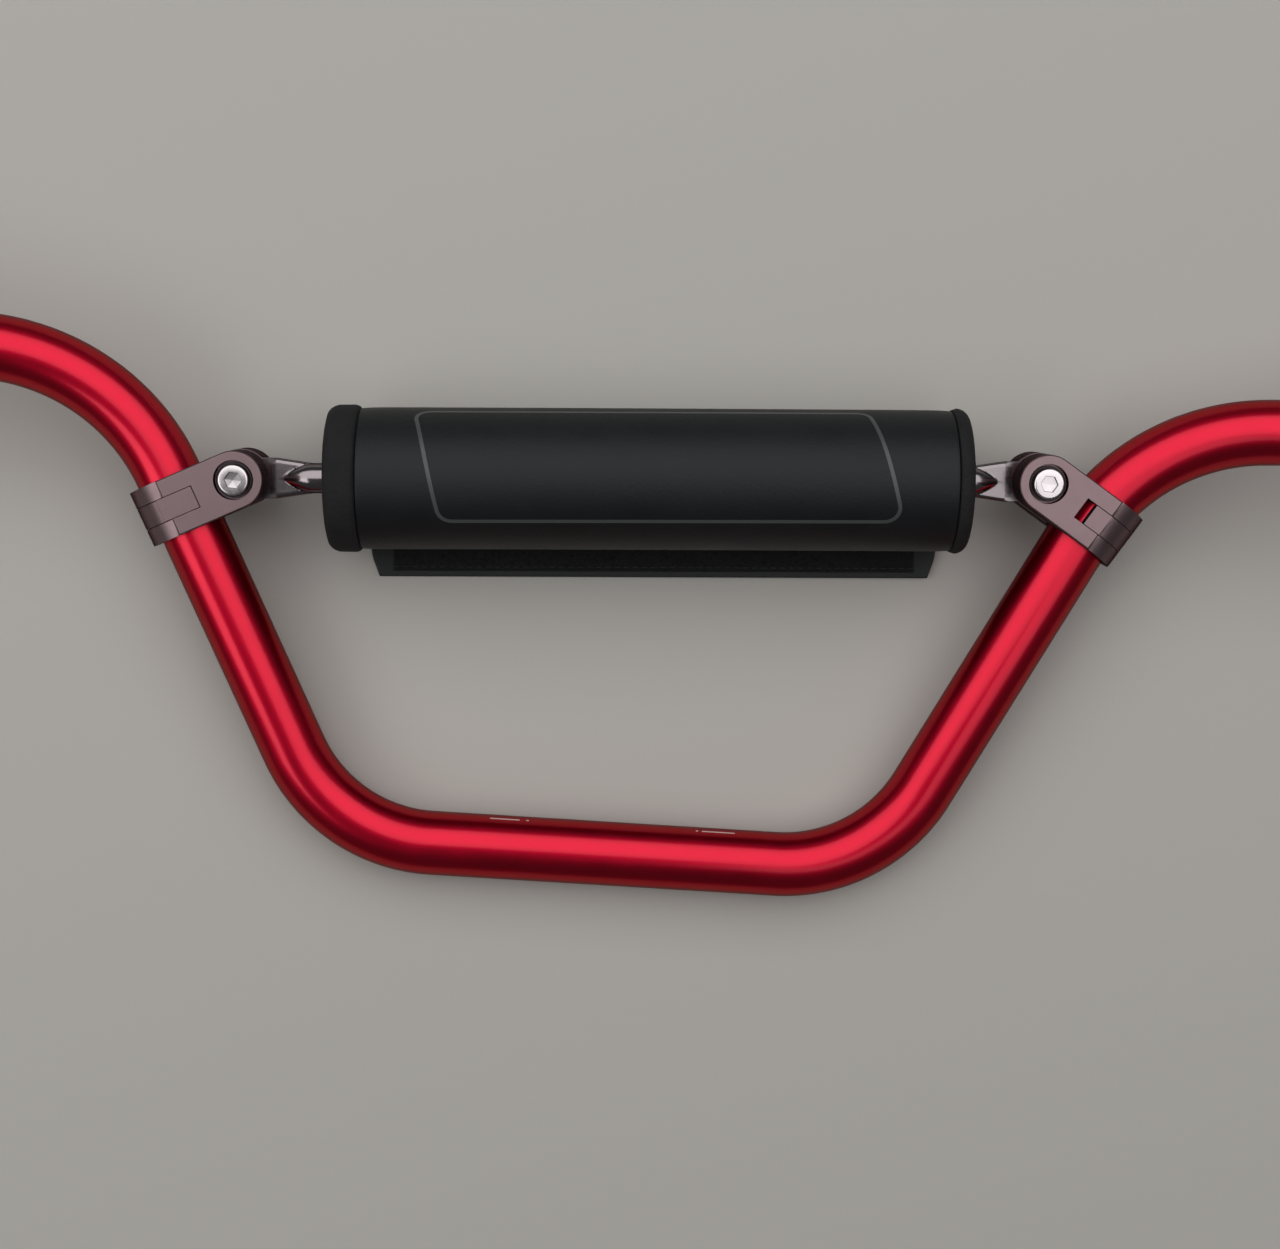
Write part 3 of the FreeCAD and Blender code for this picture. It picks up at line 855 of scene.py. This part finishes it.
def swell(piece, pinned, limit):
    """Blow a piece up a little and keep the result, with every move limited."""
    start = [vertex.co.copy() for vertex in piece.data.vertices]
    group = piece.vertex_groups.new(name="held")
    group.add(pinned, 1.0, "REPLACE")
    cloth = piece.modifiers.new("swelling", "CLOTH")
    cloth.settings.quality = SOLVER_STEPS
    cloth.settings.mass = POINT_MASS
    cloth.settings.tension_stiffness = STRETCH_STIFFNESS
    cloth.settings.compression_stiffness = STRETCH_STIFFNESS
    cloth.settings.shear_stiffness = STRETCH_STIFFNESS / 3
    cloth.settings.bending_stiffness = BENDING_STIFFNESS
    cloth.settings.vertex_group_mass = "held"
    cloth.settings.use_pressure = True
    cloth.settings.uniform_pressure_force = PRESSURE
    cloth.settings.effector_weights.gravity = 0
    cloth.point_cache.frame_start = 1
    cloth.point_cache.frame_end = LAST_FRAME
    scene = bpy.context.scene
    for number in range(1, LAST_FRAME + 1):
        scene.frame_set(number)
    view = bpy.context.evaluated_depsgraph_get()
    swollen = [vertex.co.copy() for vertex in piece.evaluated_get(view).data.vertices]
    piece.modifiers.remove(cloth)
    piece.vertex_groups.remove(group)
    furthest = 0
    for vertex, before, after in zip(piece.data.vertices, start, swollen):
        move = after - before
        if move.length > limit:
            move.length = limit
        furthest = max(furthest, move.length)
        vertex.co = before + move
    scene.frame_set(1)
    print(piece.name, "swelled by up to", round(furthest / MM, 2), "mm")


# %% [markdown]
# ## The foam core
#
# It is a thick foam tube, slit along its underside so that it can be pushed over the
# crossbar. The wrap squeezes it, and both bare ends stand a little proud, with soft
# rounded rims. Its section runs round the outside, through the slit and back round the
# hole, and it is repeated along the crossbar, closer together at the rims.

# %% The foam's mesh
FOAM_RADIUS = 24.7 * MM
SQUEEZED_RADIUS = 22.55 * MM
FOAM_HOLE = 5.3 * MM
FOAM_RIM = 3.6 * MM
FOAM_RIM_STEPS = 8
FOAM_SWELL_LIMIT = 0.8 * MM
COVER_EDGE_GAP = 0.3 * MM
COLLAR_STRAIGHT = 1.5 * MM
COLLAR_EDGE = 0.4 * MM
COLLAR_DROP = 0.5 * MM
COLLAR_STEP = 0.15 * MM
HALF_SLIT = 0.4 * MM
OUTER_STEPS = 56
GRID = 4 * MM


def foam_stations():
    """Distance along the crossbar and outer radius at each ring of the foam."""
    stations = []
    for step in range(FOAM_RIM_STEPS + 1):
        angle = pi / 2 * step / FOAM_RIM_STEPS
        depth = FOAM_RIM * (1 - cos(angle))
        radius = FOAM_RADIUS - FOAM_RIM * (1 - sin(angle))
        stations.append((depth, radius))
    left = [(FOAM_START + depth, radius) for depth, radius in stations]
    right = [(FOAM_END - depth, radius) for depth, radius in reversed(stations)]
    left_collar = COVER_START - COVER_EDGE_GAP
    right_collar = COVER_END + COVER_EDGE_GAP
    left += [
        (left_collar - COLLAR_STRAIGHT, FOAM_RADIUS),
        (left_collar - COLLAR_EDGE, FOAM_RADIUS),
        (left_collar, FOAM_RADIUS - COLLAR_DROP),
        (left_collar + COLLAR_STEP, SQUEEZED_RADIUS),
    ]
    right = [
        (right_collar - COLLAR_STEP, SQUEEZED_RADIUS),
        (right_collar, FOAM_RADIUS - COLLAR_DROP),
    ] + right
    covered = right_collar - left_collar
    steps = ceil(covered / GRID / 2)
    middle = [(left_collar + covered * i / steps, SQUEEZED_RADIUS) for i in range(1, steps)]
    return left + middle + right


def foam_ring(along, radius):
    """One section of the foam: round the outside, up the slit, round the hole and back."""
    ring = []
    slit_outside = asin(HALF_SLIT / radius)
    slit_inside = asin(HALF_SLIT / FOAM_HOLE)
    for step in range(OUTER_STEPS + 1):
        angle = -pi / 2 + slit_outside + (2 * pi - 2 * slit_outside) * step / OUTER_STEPS
        ring.append(Vector((along, radius * cos(angle), radius * sin(angle))))
    for step in range(OUTER_STEPS + 1):
        angle = 3 * pi / 2 - slit_inside - (2 * pi - 2 * slit_inside) * step / OUTER_STEPS
        ring.append(Vector((along, FOAM_HOLE * cos(angle), FOAM_HOLE * sin(angle))))
    return ring


def make_foam():
    stations = foam_stations()
    points = []
    for along, radius in stations:
        points += foam_ring(along, radius)
    columns = 2 * (OUTER_STEPS + 1)
    faces = ring_faces(len(stations), columns, closed_rings=False)
    for first in (0, (len(stations) - 1) * columns):
        for step in range(OUTER_STEPS):
            outer = first + step
            inner = first + columns - 1 - step
            faces.append((outer, outer + 1, inner - 1, inner))
    foam = new_piece("foam_core", points, faces, PAD, [FOAM], sharp_angle=60)
    held = []
    for index in range(len(points)):
        station = stations[index // columns]
        on_outside = index % columns <= OUTER_STEPS
        bare = not COVER_START < station[0] < COVER_END
        if not (on_outside and bare and station[1] > SQUEEZED_RADIUS):
            held.append(index)
    swell(foam, held, FOAM_SWELL_LIMIT)
    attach(foam, "root")
    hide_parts("pad_foam")
    return foam


foam = make_foam()
print("foam faces:", len(foam.data.polygons))

# %% [markdown]
# ## The vinyl wrap
#
# One sheet starts under the pad, goes once round the foam, laps over its own start and
# ends in a flat flap towards the bottom run. It is made as its middle surface, a grid of
# 4 mm squares, swollen by the cloth simulation where it isn't sewn or stuck, smoothed by
# two levels of subdivision, and given its 1.2 mm thickness last.

# %% The wrap's mesh
COVER_RADIUS = 23.9 * MM
COVER_THICKNESS = 1.2 * MM
COVER_LIFT = LAP_RADIUS - COVER_RADIUS
COVER_START_ANGLE = radians(266)
SEWN_FROM = radians(195)
STUCK_FROM = radians(-40)
WRAP_SWELL_LIMIT = 0.7 * MM
CUT_EDGE = 0.25 * MM
FLAP_REACH = 32.5 * MM
FLAP_CORNER = (3 * MM, 8 * MM)


def wrap_section():
    """Points along the wrap's middle line: across the pad, up, and whether it is held."""
    middle = COVER_RADIUS - COVER_THICKNESS / 2
    lap_middle = LAP_RADIUS - COVER_THICKNESS / 2
    section = []
    steps = ceil(COVER_START_ANGLE * middle / GRID)
    for step in range(steps + 1):
        angle = COVER_START_ANGLE * (1 - step / steps)
        section.append((middle * cos(angle), middle * sin(angle), angle > SEWN_FROM))
    steps = ceil(pi / 2 * lap_middle / GRID)
    for step in range(1, steps + 1):
        angle = -pi / 2 * step / steps
        across = lap_middle * cos(angle) - COVER_LIFT
        section.append((across, lap_middle * sin(angle), angle < STUCK_FROM))
    steps = ceil((FLAP_REACH - COVER_LIFT) / GRID)
    for step in range(1, steps + 1):
        across = -COVER_LIFT - (FLAP_REACH - COVER_LIFT) * step / steps
        section.append((across, -lap_middle, True))
    return section


def make_wrap():
    section = wrap_section()
    length = COVER_END - COVER_START
    rows = ceil(length / GRID)
    points = []
    held = []
    for row in range(rows + 1):
        part = row / rows
        for across, up, fixed in section:
            cut = max(0, -across - (FLAP_REACH - FLAP_CORNER[1])) / FLAP_CORNER[1]
            inset = FLAP_CORNER[0] * cut if up < -COVER_RADIUS else 0
            along = COVER_START + inset + (length - 2 * inset) * part
            if fixed or row in (0, rows):
                held.append(len(points))
            points.append((along, across, up))
    faces = ring_faces(rows + 1, len(section), closed_rings=False, closed_columns=False)
    wrap = new_piece("vinyl_wrap", points, faces, PAD, [VINYL], sharp_angle=60)
    swell(wrap, held, WRAP_SWELL_LIMIT)
    smooth = wrap.modifiers.new("smooth", "SUBSURF")
    smooth.levels = 2
    smooth.render_levels = 2
    smooth.boundary_smooth = "PRESERVE_CORNERS"
    thick = wrap.modifiers.new("thickness", "SOLIDIFY")
    thick.thickness = COVER_THICKNESS
    thick.offset = 0
    edge = wrap.modifiers.new("cut_edge", "BEVEL")
    edge.width = CUT_EDGE
    edge.segments = 2
    edge.limit_method = "ANGLE"
    edge.angle_limit = radians(50)
    mesh = bpy.data.meshes.new_from_object(
        wrap.evaluated_get(bpy.context.evaluated_depsgraph_get())
    )
    wrap.modifiers.clear()
    wrap.data = mesh
    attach(wrap, "root")
    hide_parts("pad_cover")
    return wrap


wrap = make_wrap()
print("wrap faces:", len(wrap.data.polygons))

# %% [markdown]
# ## A printed border on the wrap
#
# The face of the wrap carries a thin grey border, a slanted panel with rounded corners.
# It follows the swollen surface: its path is laid out flat, along the pad and round it in
# millimetres, then each point is dropped onto the wrap by a ray towards the pad's axis.
# The ink is a closed film with a little thickness, half of it sunk into the vinyl.

# %% The border's path
PANEL_CORNERS = ((59.5, 26.8), (211.5, 27.2), (222.6, -16.0), (68.9, -16.6))
PANEL_ROUNDING = 5.0
LINE_WIDTH = 1.3
PRINT_PROUD = 0.04 * MM
UNROLLED_RADIUS = 23.9
ARC_STEPS = 8
PATH_SPACING = 1.5
RAY_START = 50 * MM


def rounded_path(corners, rounding, spacing):
    """Points every spacing mm along a closed path whose corners are rounded by arcs."""
    points = []
    count = len(corners)
    for index in range(count):
        before = Vector(corners[index - 1])
        corner = Vector(corners[index])
        after = Vector(corners[(index + 1) % count])
        to_before = (before - corner).normalized()
        to_after = (after - corner).normalized()
        half = to_before.angle(to_after) / 2
        setback = rounding / tan(half)
        centre = corner + (to_before + to_after).normalized() * rounding / sin(half)
        start = corner + to_before * setback - centre
        sweep = pi - 2 * half
        turn = -1 if to_before.cross(to_after) > 0 else 1
        for step in range(ARC_STEPS + 1):
            angle = turn * sweep * step / ARC_STEPS
            turned = Vector((
                start.x * cos(angle) - start.y * sin(angle),
                start.x * sin(angle) + start.y * cos(angle),
            ))
            points.append(centre + turned)
    path = []
    for first, second in zip(points, points[1:] + points[:1]):
        steps = max(1, ceil((second - first).length / spacing))
        path += [first.lerp(second, step / steps) for step in range(steps)]
    return path


def dropped_on(surface, along, around, height):
    """The point straight out from the pad's axis, at a height above a surface."""
    angle = around / UNROLLED_RADIUS
    axis_point = PAD @ Vector((along * MM, 0, 0))
    outwards = PAD.to_3x3() @ Vector((0, sin(angle), cos(angle)))
    hit = surface.ray_cast(axis_point + outwards * RAY_START, -outwards)[0]
    return hit + outwards * height


def make_border():
    mesh = wrap.data
    surface = BVHTree.FromPolygons(
        [v.co for v in mesh.vertices], [p.vertices[:] for p in mesh.polygons]
    )
    path = rounded_path(PANEL_CORNERS, PANEL_ROUNDING, PATH_SPACING)
    points = []
    for index, point in enumerate(path):
        ahead = (path[(index + 1) % len(path)] - path[index - 1]).normalized()
        aside = Vector((-ahead.y, ahead.x)) * LINE_WIDTH / 2
        section = (
            (point - aside, PRINT_PROUD), (point + aside, PRINT_PROUD),
            (point + aside, -PRINT_PROUD), (point - aside, -PRINT_PROUD),
        )
        for edge, height in section:
            points.append(dropped_on(surface, edge.x, edge.y, height))
    faces = ring_faces(len(path), 4)
    border = new_piece("printed_border", points, faces, Matrix(), [PRINT_INK])
    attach(border, "root")
    return border


border = make_border()
print("border faces:", len(border.data.polygons))

# %% [markdown]
# ## The loop tape on the flap
#
# Loop tape is a woven ribbon covered with tiny loops of yarn. The ribbon is a thin slab
# with rounded edges. Geometry Nodes scatter the loops over its bare part, at random places
# and angles but from a fixed seed, and turn them into real mesh.

# %% The ribbon and its loops
STRIP_THICKNESS = 0.8 * MM
STRIP_MARGIN = 2 * MM
STRIP_END_MARGIN = 8 * MM
LAP_INNER = LAP_RADIUS - COVER_THICKNESS
STRIP_TOP = -LAP_INNER + STRIP_THICKNESS
STRIP_ROUNDING = 0.2 * MM
BARE_STRIP_EDGE = -19 * MM
LOOPS_PER_SQUARE_METRE = 1.6e6
LOOP_RADIUS = 0.28 * MM
LOOP_LEAN = 0.5
LOOP_SWEEP = pi * 1.2
YARN_RADIUS = 0.06 * MM
LOOP_SEED = 7


def box_piece(name, low, high, place, finish, rounding):
    """A slab between two corners with rounded edges."""
    corners = [
        (x, y, z) for x in (low[0], high[0]) for y in (low[1], high[1]) for z in (low[2], high[2])
    ]
    faces = [(0, 1, 3, 2), (4, 6, 7, 5), (0, 4, 5, 1), (2, 3, 7, 6), (0, 2, 6, 4), (1, 5, 7, 3)]
    piece = new_piece(name, corners, faces, place, [finish])
    edges = piece.modifiers.new("rounded", "BEVEL")
    edges.width = rounding
    edges.segments = 3
    return piece


def new_tree(name, inputs):
    """An empty geometry node group with its inputs. Returns it and its input node."""
    tree = bpy.data.node_groups.new(name, "GeometryNodeTree")
    tree.interface.new_socket("Geometry", in_out="INPUT", socket_type="NodeSocketGeometry")
    tree.interface.new_socket("Geometry", in_out="OUTPUT", socket_type="NodeSocketGeometry")
    for label, kind in inputs:
        tree.interface.new_socket(label, in_out="INPUT", socket_type=kind)
    return tree, tree.nodes.new("NodeGroupInput")


def finish_tree(tree, geometry, material):
    """Realize the instances, give them their finish and send them out."""
    real = add_node(tree, "GeometryNodeRealizeInstances", {"Geometry": geometry})
    dressed = add_node(tree, "GeometryNodeSetMaterial", {
        "Geometry": real.outputs[0], "Material": material,
    })
    tree.links.new(dressed.outputs[0], tree.nodes.new("NodeGroupOutput").inputs[0])


def run_tree(name, base, tree, values):
    """Run a node group on a base object and keep its result as a plain mesh piece."""
    modifier = base.modifiers.new(tree.name, "NODES")
    modifier.node_group = tree
    for item in tree.interface.items_tree:
        if item.in_out == "INPUT" and item.name in values:
            modifier[item.identifier] = values[item.name]
    view = bpy.context.evaluated_depsgraph_get()
    mesh = bpy.data.meshes.new_from_object(base.evaluated_get(view))
    mesh.name = name
    base.modifiers.clear()
    bpy.data.objects.remove(base)
    piece = bpy.data.objects.new(name, mesh)
    bpy.context.scene.collection.objects.link(piece)
    return piece


def loop_tree():
    tree, given = new_tree("loops_of_yarn", (
        ("Density", "NodeSocketFloat"), ("Loop Size", "NodeSocketFloat"),
        ("Yarn Radius", "NodeSocketFloat"), ("Seed", "NodeSocketInt"),
        ("Material", "NodeSocketMaterial"),
    ))
    scatter = add_node(tree, "GeometryNodeDistributePointsOnFaces", {
        "Mesh": given.outputs["Geometry"],
        "Density": given.outputs["Density"],
        "Seed": given.outputs["Seed"],
    })
    arch = add_node(tree, "GeometryNodeCurveArc", {
        "Resolution": 6,
        "Radius": given.outputs["Loop Size"],
        "Sweep Angle": LOOP_SWEEP,
    })
    yarn = add_node(tree, "GeometryNodeCurvePrimitiveCircle", {
        "Resolution": 3, "Radius": given.outputs["Yarn Radius"],
    })
    loop = add_node(tree, "GeometryNodeCurveToMesh", {
        "Curve": arch.outputs["Curve"],
        "Profile Curve": yarn.outputs["Curve"],
        "Fill Caps": True,
    })
    upright_loop = add_node(tree, "GeometryNodeTransform", {
        "Geometry": loop.outputs[0], "Rotation": (pi / 2, 0, 0),
    })
    turn = add_node(tree, "FunctionNodeRandomValue", {
        0: (-LOOP_LEAN, -LOOP_LEAN, 0),
        1: (LOOP_LEAN, LOOP_LEAN, 2 * pi),
        "Seed": given.outputs["Seed"],
    }, data_type="FLOAT_VECTOR")
    scattered = add_node(tree, "GeometryNodeInstanceOnPoints", {
        "Points": scatter.outputs["Points"],
        "Instance": upright_loop.outputs[0],
        "Rotation": turn.outputs[0],
    })
    finish_tree(tree, scattered.outputs[0], given.outputs["Material"])
    return tree


def make_loop_tape():
    start = COVER_START + STRIP_END_MARGIN
    end = COVER_END - STRIP_END_MARGIN
    outer_edge = STRIP_MARGIN - FLAP_REACH
    low = (start, outer_edge, -LAP_INNER)
    high = (end, -COVER_LIFT, STRIP_TOP)
    tape = box_piece("loop_tape", low, high, PAD, TAPE, STRIP_ROUNDING)
    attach(tape, "root")
    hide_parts("pad_loop_strip")
    field = [
        (start, outer_edge, STRIP_TOP), (end, outer_edge, STRIP_TOP),
        (end, BARE_STRIP_EDGE, STRIP_TOP), (start, BARE_STRIP_EDGE, STRIP_TOP),
    ]
    base = new_piece("loop_field", field, [(0, 1, 2, 3)], PAD, [TAPE])
    pile = run_tree("loop_pile", base, loop_tree(), {
        "Density": LOOPS_PER_SQUARE_METRE, "Loop Size": LOOP_RADIUS,
        "Yarn Radius": YARN_RADIUS, "Seed": LOOP_SEED, "Material": TAPE,
    })
    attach(pile, "root")
    return tape, pile


tape, pile = make_loop_tape()
print("loops have", len(pile.data.polygons), "faces")

hook_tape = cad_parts["pad_hook_strip"]
hook_tape.data.materials.clear()
hook_tape.data.materials.append(TAPE)

# %% [markdown]
# ## Stitches
#
# The loop tape is sewn to the flap with a row of stitches along each long edge. Both rows
# show on the flap's underside, and the outer one on the bare tape too. One node tree sets
# a short capsule of thread at every stitch length along a line.


# %% Rows of stitches
STITCH_SPACING = 3.2 * MM
STITCH_HALF_LENGTH = 1.2 * MM
THREAD_RADIUS = 0.22 * MM
THREAD_SUNK = 0.15 * MM
THREAD_PROUD = 0.05 * MM
SEAM_INSET = 1.4 * MM
SEAM_END_INSET = 1 * MM


def stitch_tree():
    tree, given = new_tree("row_of_stitches", (
        ("Spacing", "NodeSocketFloat"), ("Half Length", "NodeSocketFloat"),
        ("Thread Radius", "NodeSocketFloat"), ("Material", "NodeSocketMaterial"),
    ))
    line = add_node(tree, "GeometryNodeMeshToCurve", {"Mesh": given.outputs["Geometry"]})
    spaced = add_node(tree, "GeometryNodeResampleCurve", {
        "Curve": line.outputs[0], "Length": given.outputs["Spacing"],
    }, mode="LENGTH")
    capsule = add_node(tree, "GeometryNodeMeshUVSphere", {
        "Segments": 8, "Rings": 5, "Radius": 1.0,
    })
    size = add_node(tree, "ShaderNodeCombineXYZ", {
        "X": given.outputs["Thread Radius"],
        "Y": given.outputs["Thread Radius"],
        "Z": given.outputs["Half Length"],
    })
    stitch = add_node(tree, "GeometryNodeTransform", {
        "Geometry": capsule.outputs["Mesh"], "Scale": size.outputs[0],
    })
    along = add_node(tree, "GeometryNodeInputTangent")
    aim = add_node(tree, "FunctionNodeAlignRotationToVector", {
        "Vector": along.outputs[0],
    }, axis="Z")
    row = add_node(tree, "GeometryNodeInstanceOnPoints", {
        "Points": spaced.outputs[0], "Instance": stitch.outputs[0], "Rotation": aim.outputs[0],
    })
    finish_tree(tree, row.outputs[0], given.outputs["Material"])
    return tree


def make_stitches():
    start = COVER_START + STRIP_END_MARGIN + SEAM_END_INSET
    end = COVER_END - STRIP_END_MARGIN - SEAM_END_INSET
    below = -LAP_RADIUS + THREAD_SUNK
    above = STRIP_TOP + THREAD_PROUD
    outer = SEAM_INSET + STRIP_MARGIN - FLAP_REACH
    inner = -COVER_LIFT - SEAM_INSET
    rows = (
        (start, outer, below, end), (start, inner, below, end), (start, outer, above, end),
    )
    points = []
    edges = []
    for first, across, up, last in rows:
        edges.append((len(points), len(points) + 1))
        points += [PAD @ Vector((first, across, up)), PAD @ Vector((last, across, up))]
    mesh = bpy.data.meshes.new("stitch_lines")
    mesh.from_pydata(points, edges, [])
    base = bpy.data.objects.new("stitch_lines", mesh)
    bpy.context.scene.collection.objects.link(base)
    stitches = run_tree("stitches", base, stitch_tree(), {
        "Spacing": STITCH_SPACING, "Half Length": STITCH_HALF_LENGTH,
        "Thread Radius": THREAD_RADIUS, "Material": THREAD,
    })
    stitches.data.shade_smooth()
    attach(stitches, "root")
    return stitches


stitches = make_stitches()
print("stitches have", len(stitches.data.polygons), "faces")

# %% [markdown]
# ## Floor, light and camera
#
# The bar lies down and is seen from above. A tube is a curved mirror: a wide soft panel
# of light over the far side gives it one broad highlight, and two smaller panels beside
# the viewer, with a dark gap between them, split it where the uprights show two streaks.
# The floor is plain pale grey.

# %% Floor
FLOOR_HALF = 3.0
floor_height = -BAR_RADIUS
floor_finish = new_finish(
    "plain_pale_floor", Base_Color=hex_colour("#ABA8A3"), Roughness=0.9,
)[0]
corners = [
    (-FLOOR_HALF, -FLOOR_HALF, floor_height), (FLOOR_HALF, -FLOOR_HALF, floor_height),
    (FLOOR_HALF, FLOOR_HALF, floor_height), (-FLOOR_HALF, FLOOR_HALF, floor_height),
]
floor = new_piece("floor", corners, [(0, 1, 2, 3)], Matrix(), [floor_finish])
if floor.data.polygons[0].normal.z < 0:
    floor.data.flip_normals()


# %% Lamps
LAMP_HEIGHT = 1.3
WORLD_GREY = 0.08
# Each panel's name, its near left and far right corners in metres, and its radiance.
LAMPS = (
    ("sky", (-2.2, -0.03), (1.6, 2.0), 1.55),
    ("left_of_the_viewer", (-2.4, -1.0), (-0.66, -0.03), 2.1),
    ("right_of_the_viewer", (0.15, -0.6), (1.1, -0.03), 1.2),
)


def panel_of_light(name, low, high, radiance):
    """A rectangle that shines straight down, its power worked out from its radiance."""
    width = high[0] - low[0]
    depth = high[1] - low[1]
    light = bpy.data.lights.new(name, "AREA")
    light.shape = "RECTANGLE"
    light.size = width
    light.size_y = depth
    light.energy = radiance * pi * width * depth
    panel = bpy.data.objects.new(name, light)
    panel.location = ((low[0] + high[0]) / 2, (low[1] + high[1]) / 2, LAMP_HEIGHT)
    bpy.context.scene.collection.objects.link(panel)
    print(name, "power", round(light.energy, 2), "W")


for name, low, high, radiance in LAMPS:
    panel_of_light(name, low, high, radiance)

world = bpy.data.worlds.new("studio_grey")
world.use_nodes = True
background = world.node_tree.nodes["Background"]
background.inputs["Color"].default_value = (WORLD_GREY, WORLD_GREY, WORLD_GREY, 1)
bpy.context.scene.world = world
bpy.context.scene.view_settings.view_transform = "Standard"

# %% [markdown]
# ## The camera
#
# Its lens, height and tilt were fitted to the bend lines of the photographed bar, in the
# bar's own plane, so the same tilt to the floor is applied to it.

# %% Camera
CAMERA_HEIGHT = 687.4 * MM
CAMERA_AIM = Vector((7.2 * MM, 81.0 * MM, 0))
CAMERA_TURNS = (radians(7.01), radians(1.52), radians(-3.69))
LENS = 56.25
SENSOR_WIDTH = 36

camera_data = bpy.data.cameras.new("camera")
camera_data.lens = LENS
camera_data.sensor_width = SENSOR_WIDTH
camera_data.sensor_fit = "HORIZONTAL"
camera = bpy.data.objects.new("camera", camera_data)
view_turn = (
    Matrix.Rotation(CAMERA_TURNS[2], 4, "Z")
    @ Matrix.Rotation(CAMERA_TURNS[1], 4, "Y")
    @ Matrix.Rotation(CAMERA_TURNS[0], 4, "X")
)
camera.matrix_world = (
    TO_FLOOR
    @ Matrix.Translation(CAMERA_AIM)
    @ view_turn.inverted()
    @ Matrix.Translation((0, 0, CAMERA_HEIGHT))
)
bpy.context.scene.collection.objects.link(camera)
bpy.context.scene.camera = camera
print("camera at", [round(v, 3) for v in camera.matrix_world.translation])

# %% The last call
bpy.context.view_layer.update()
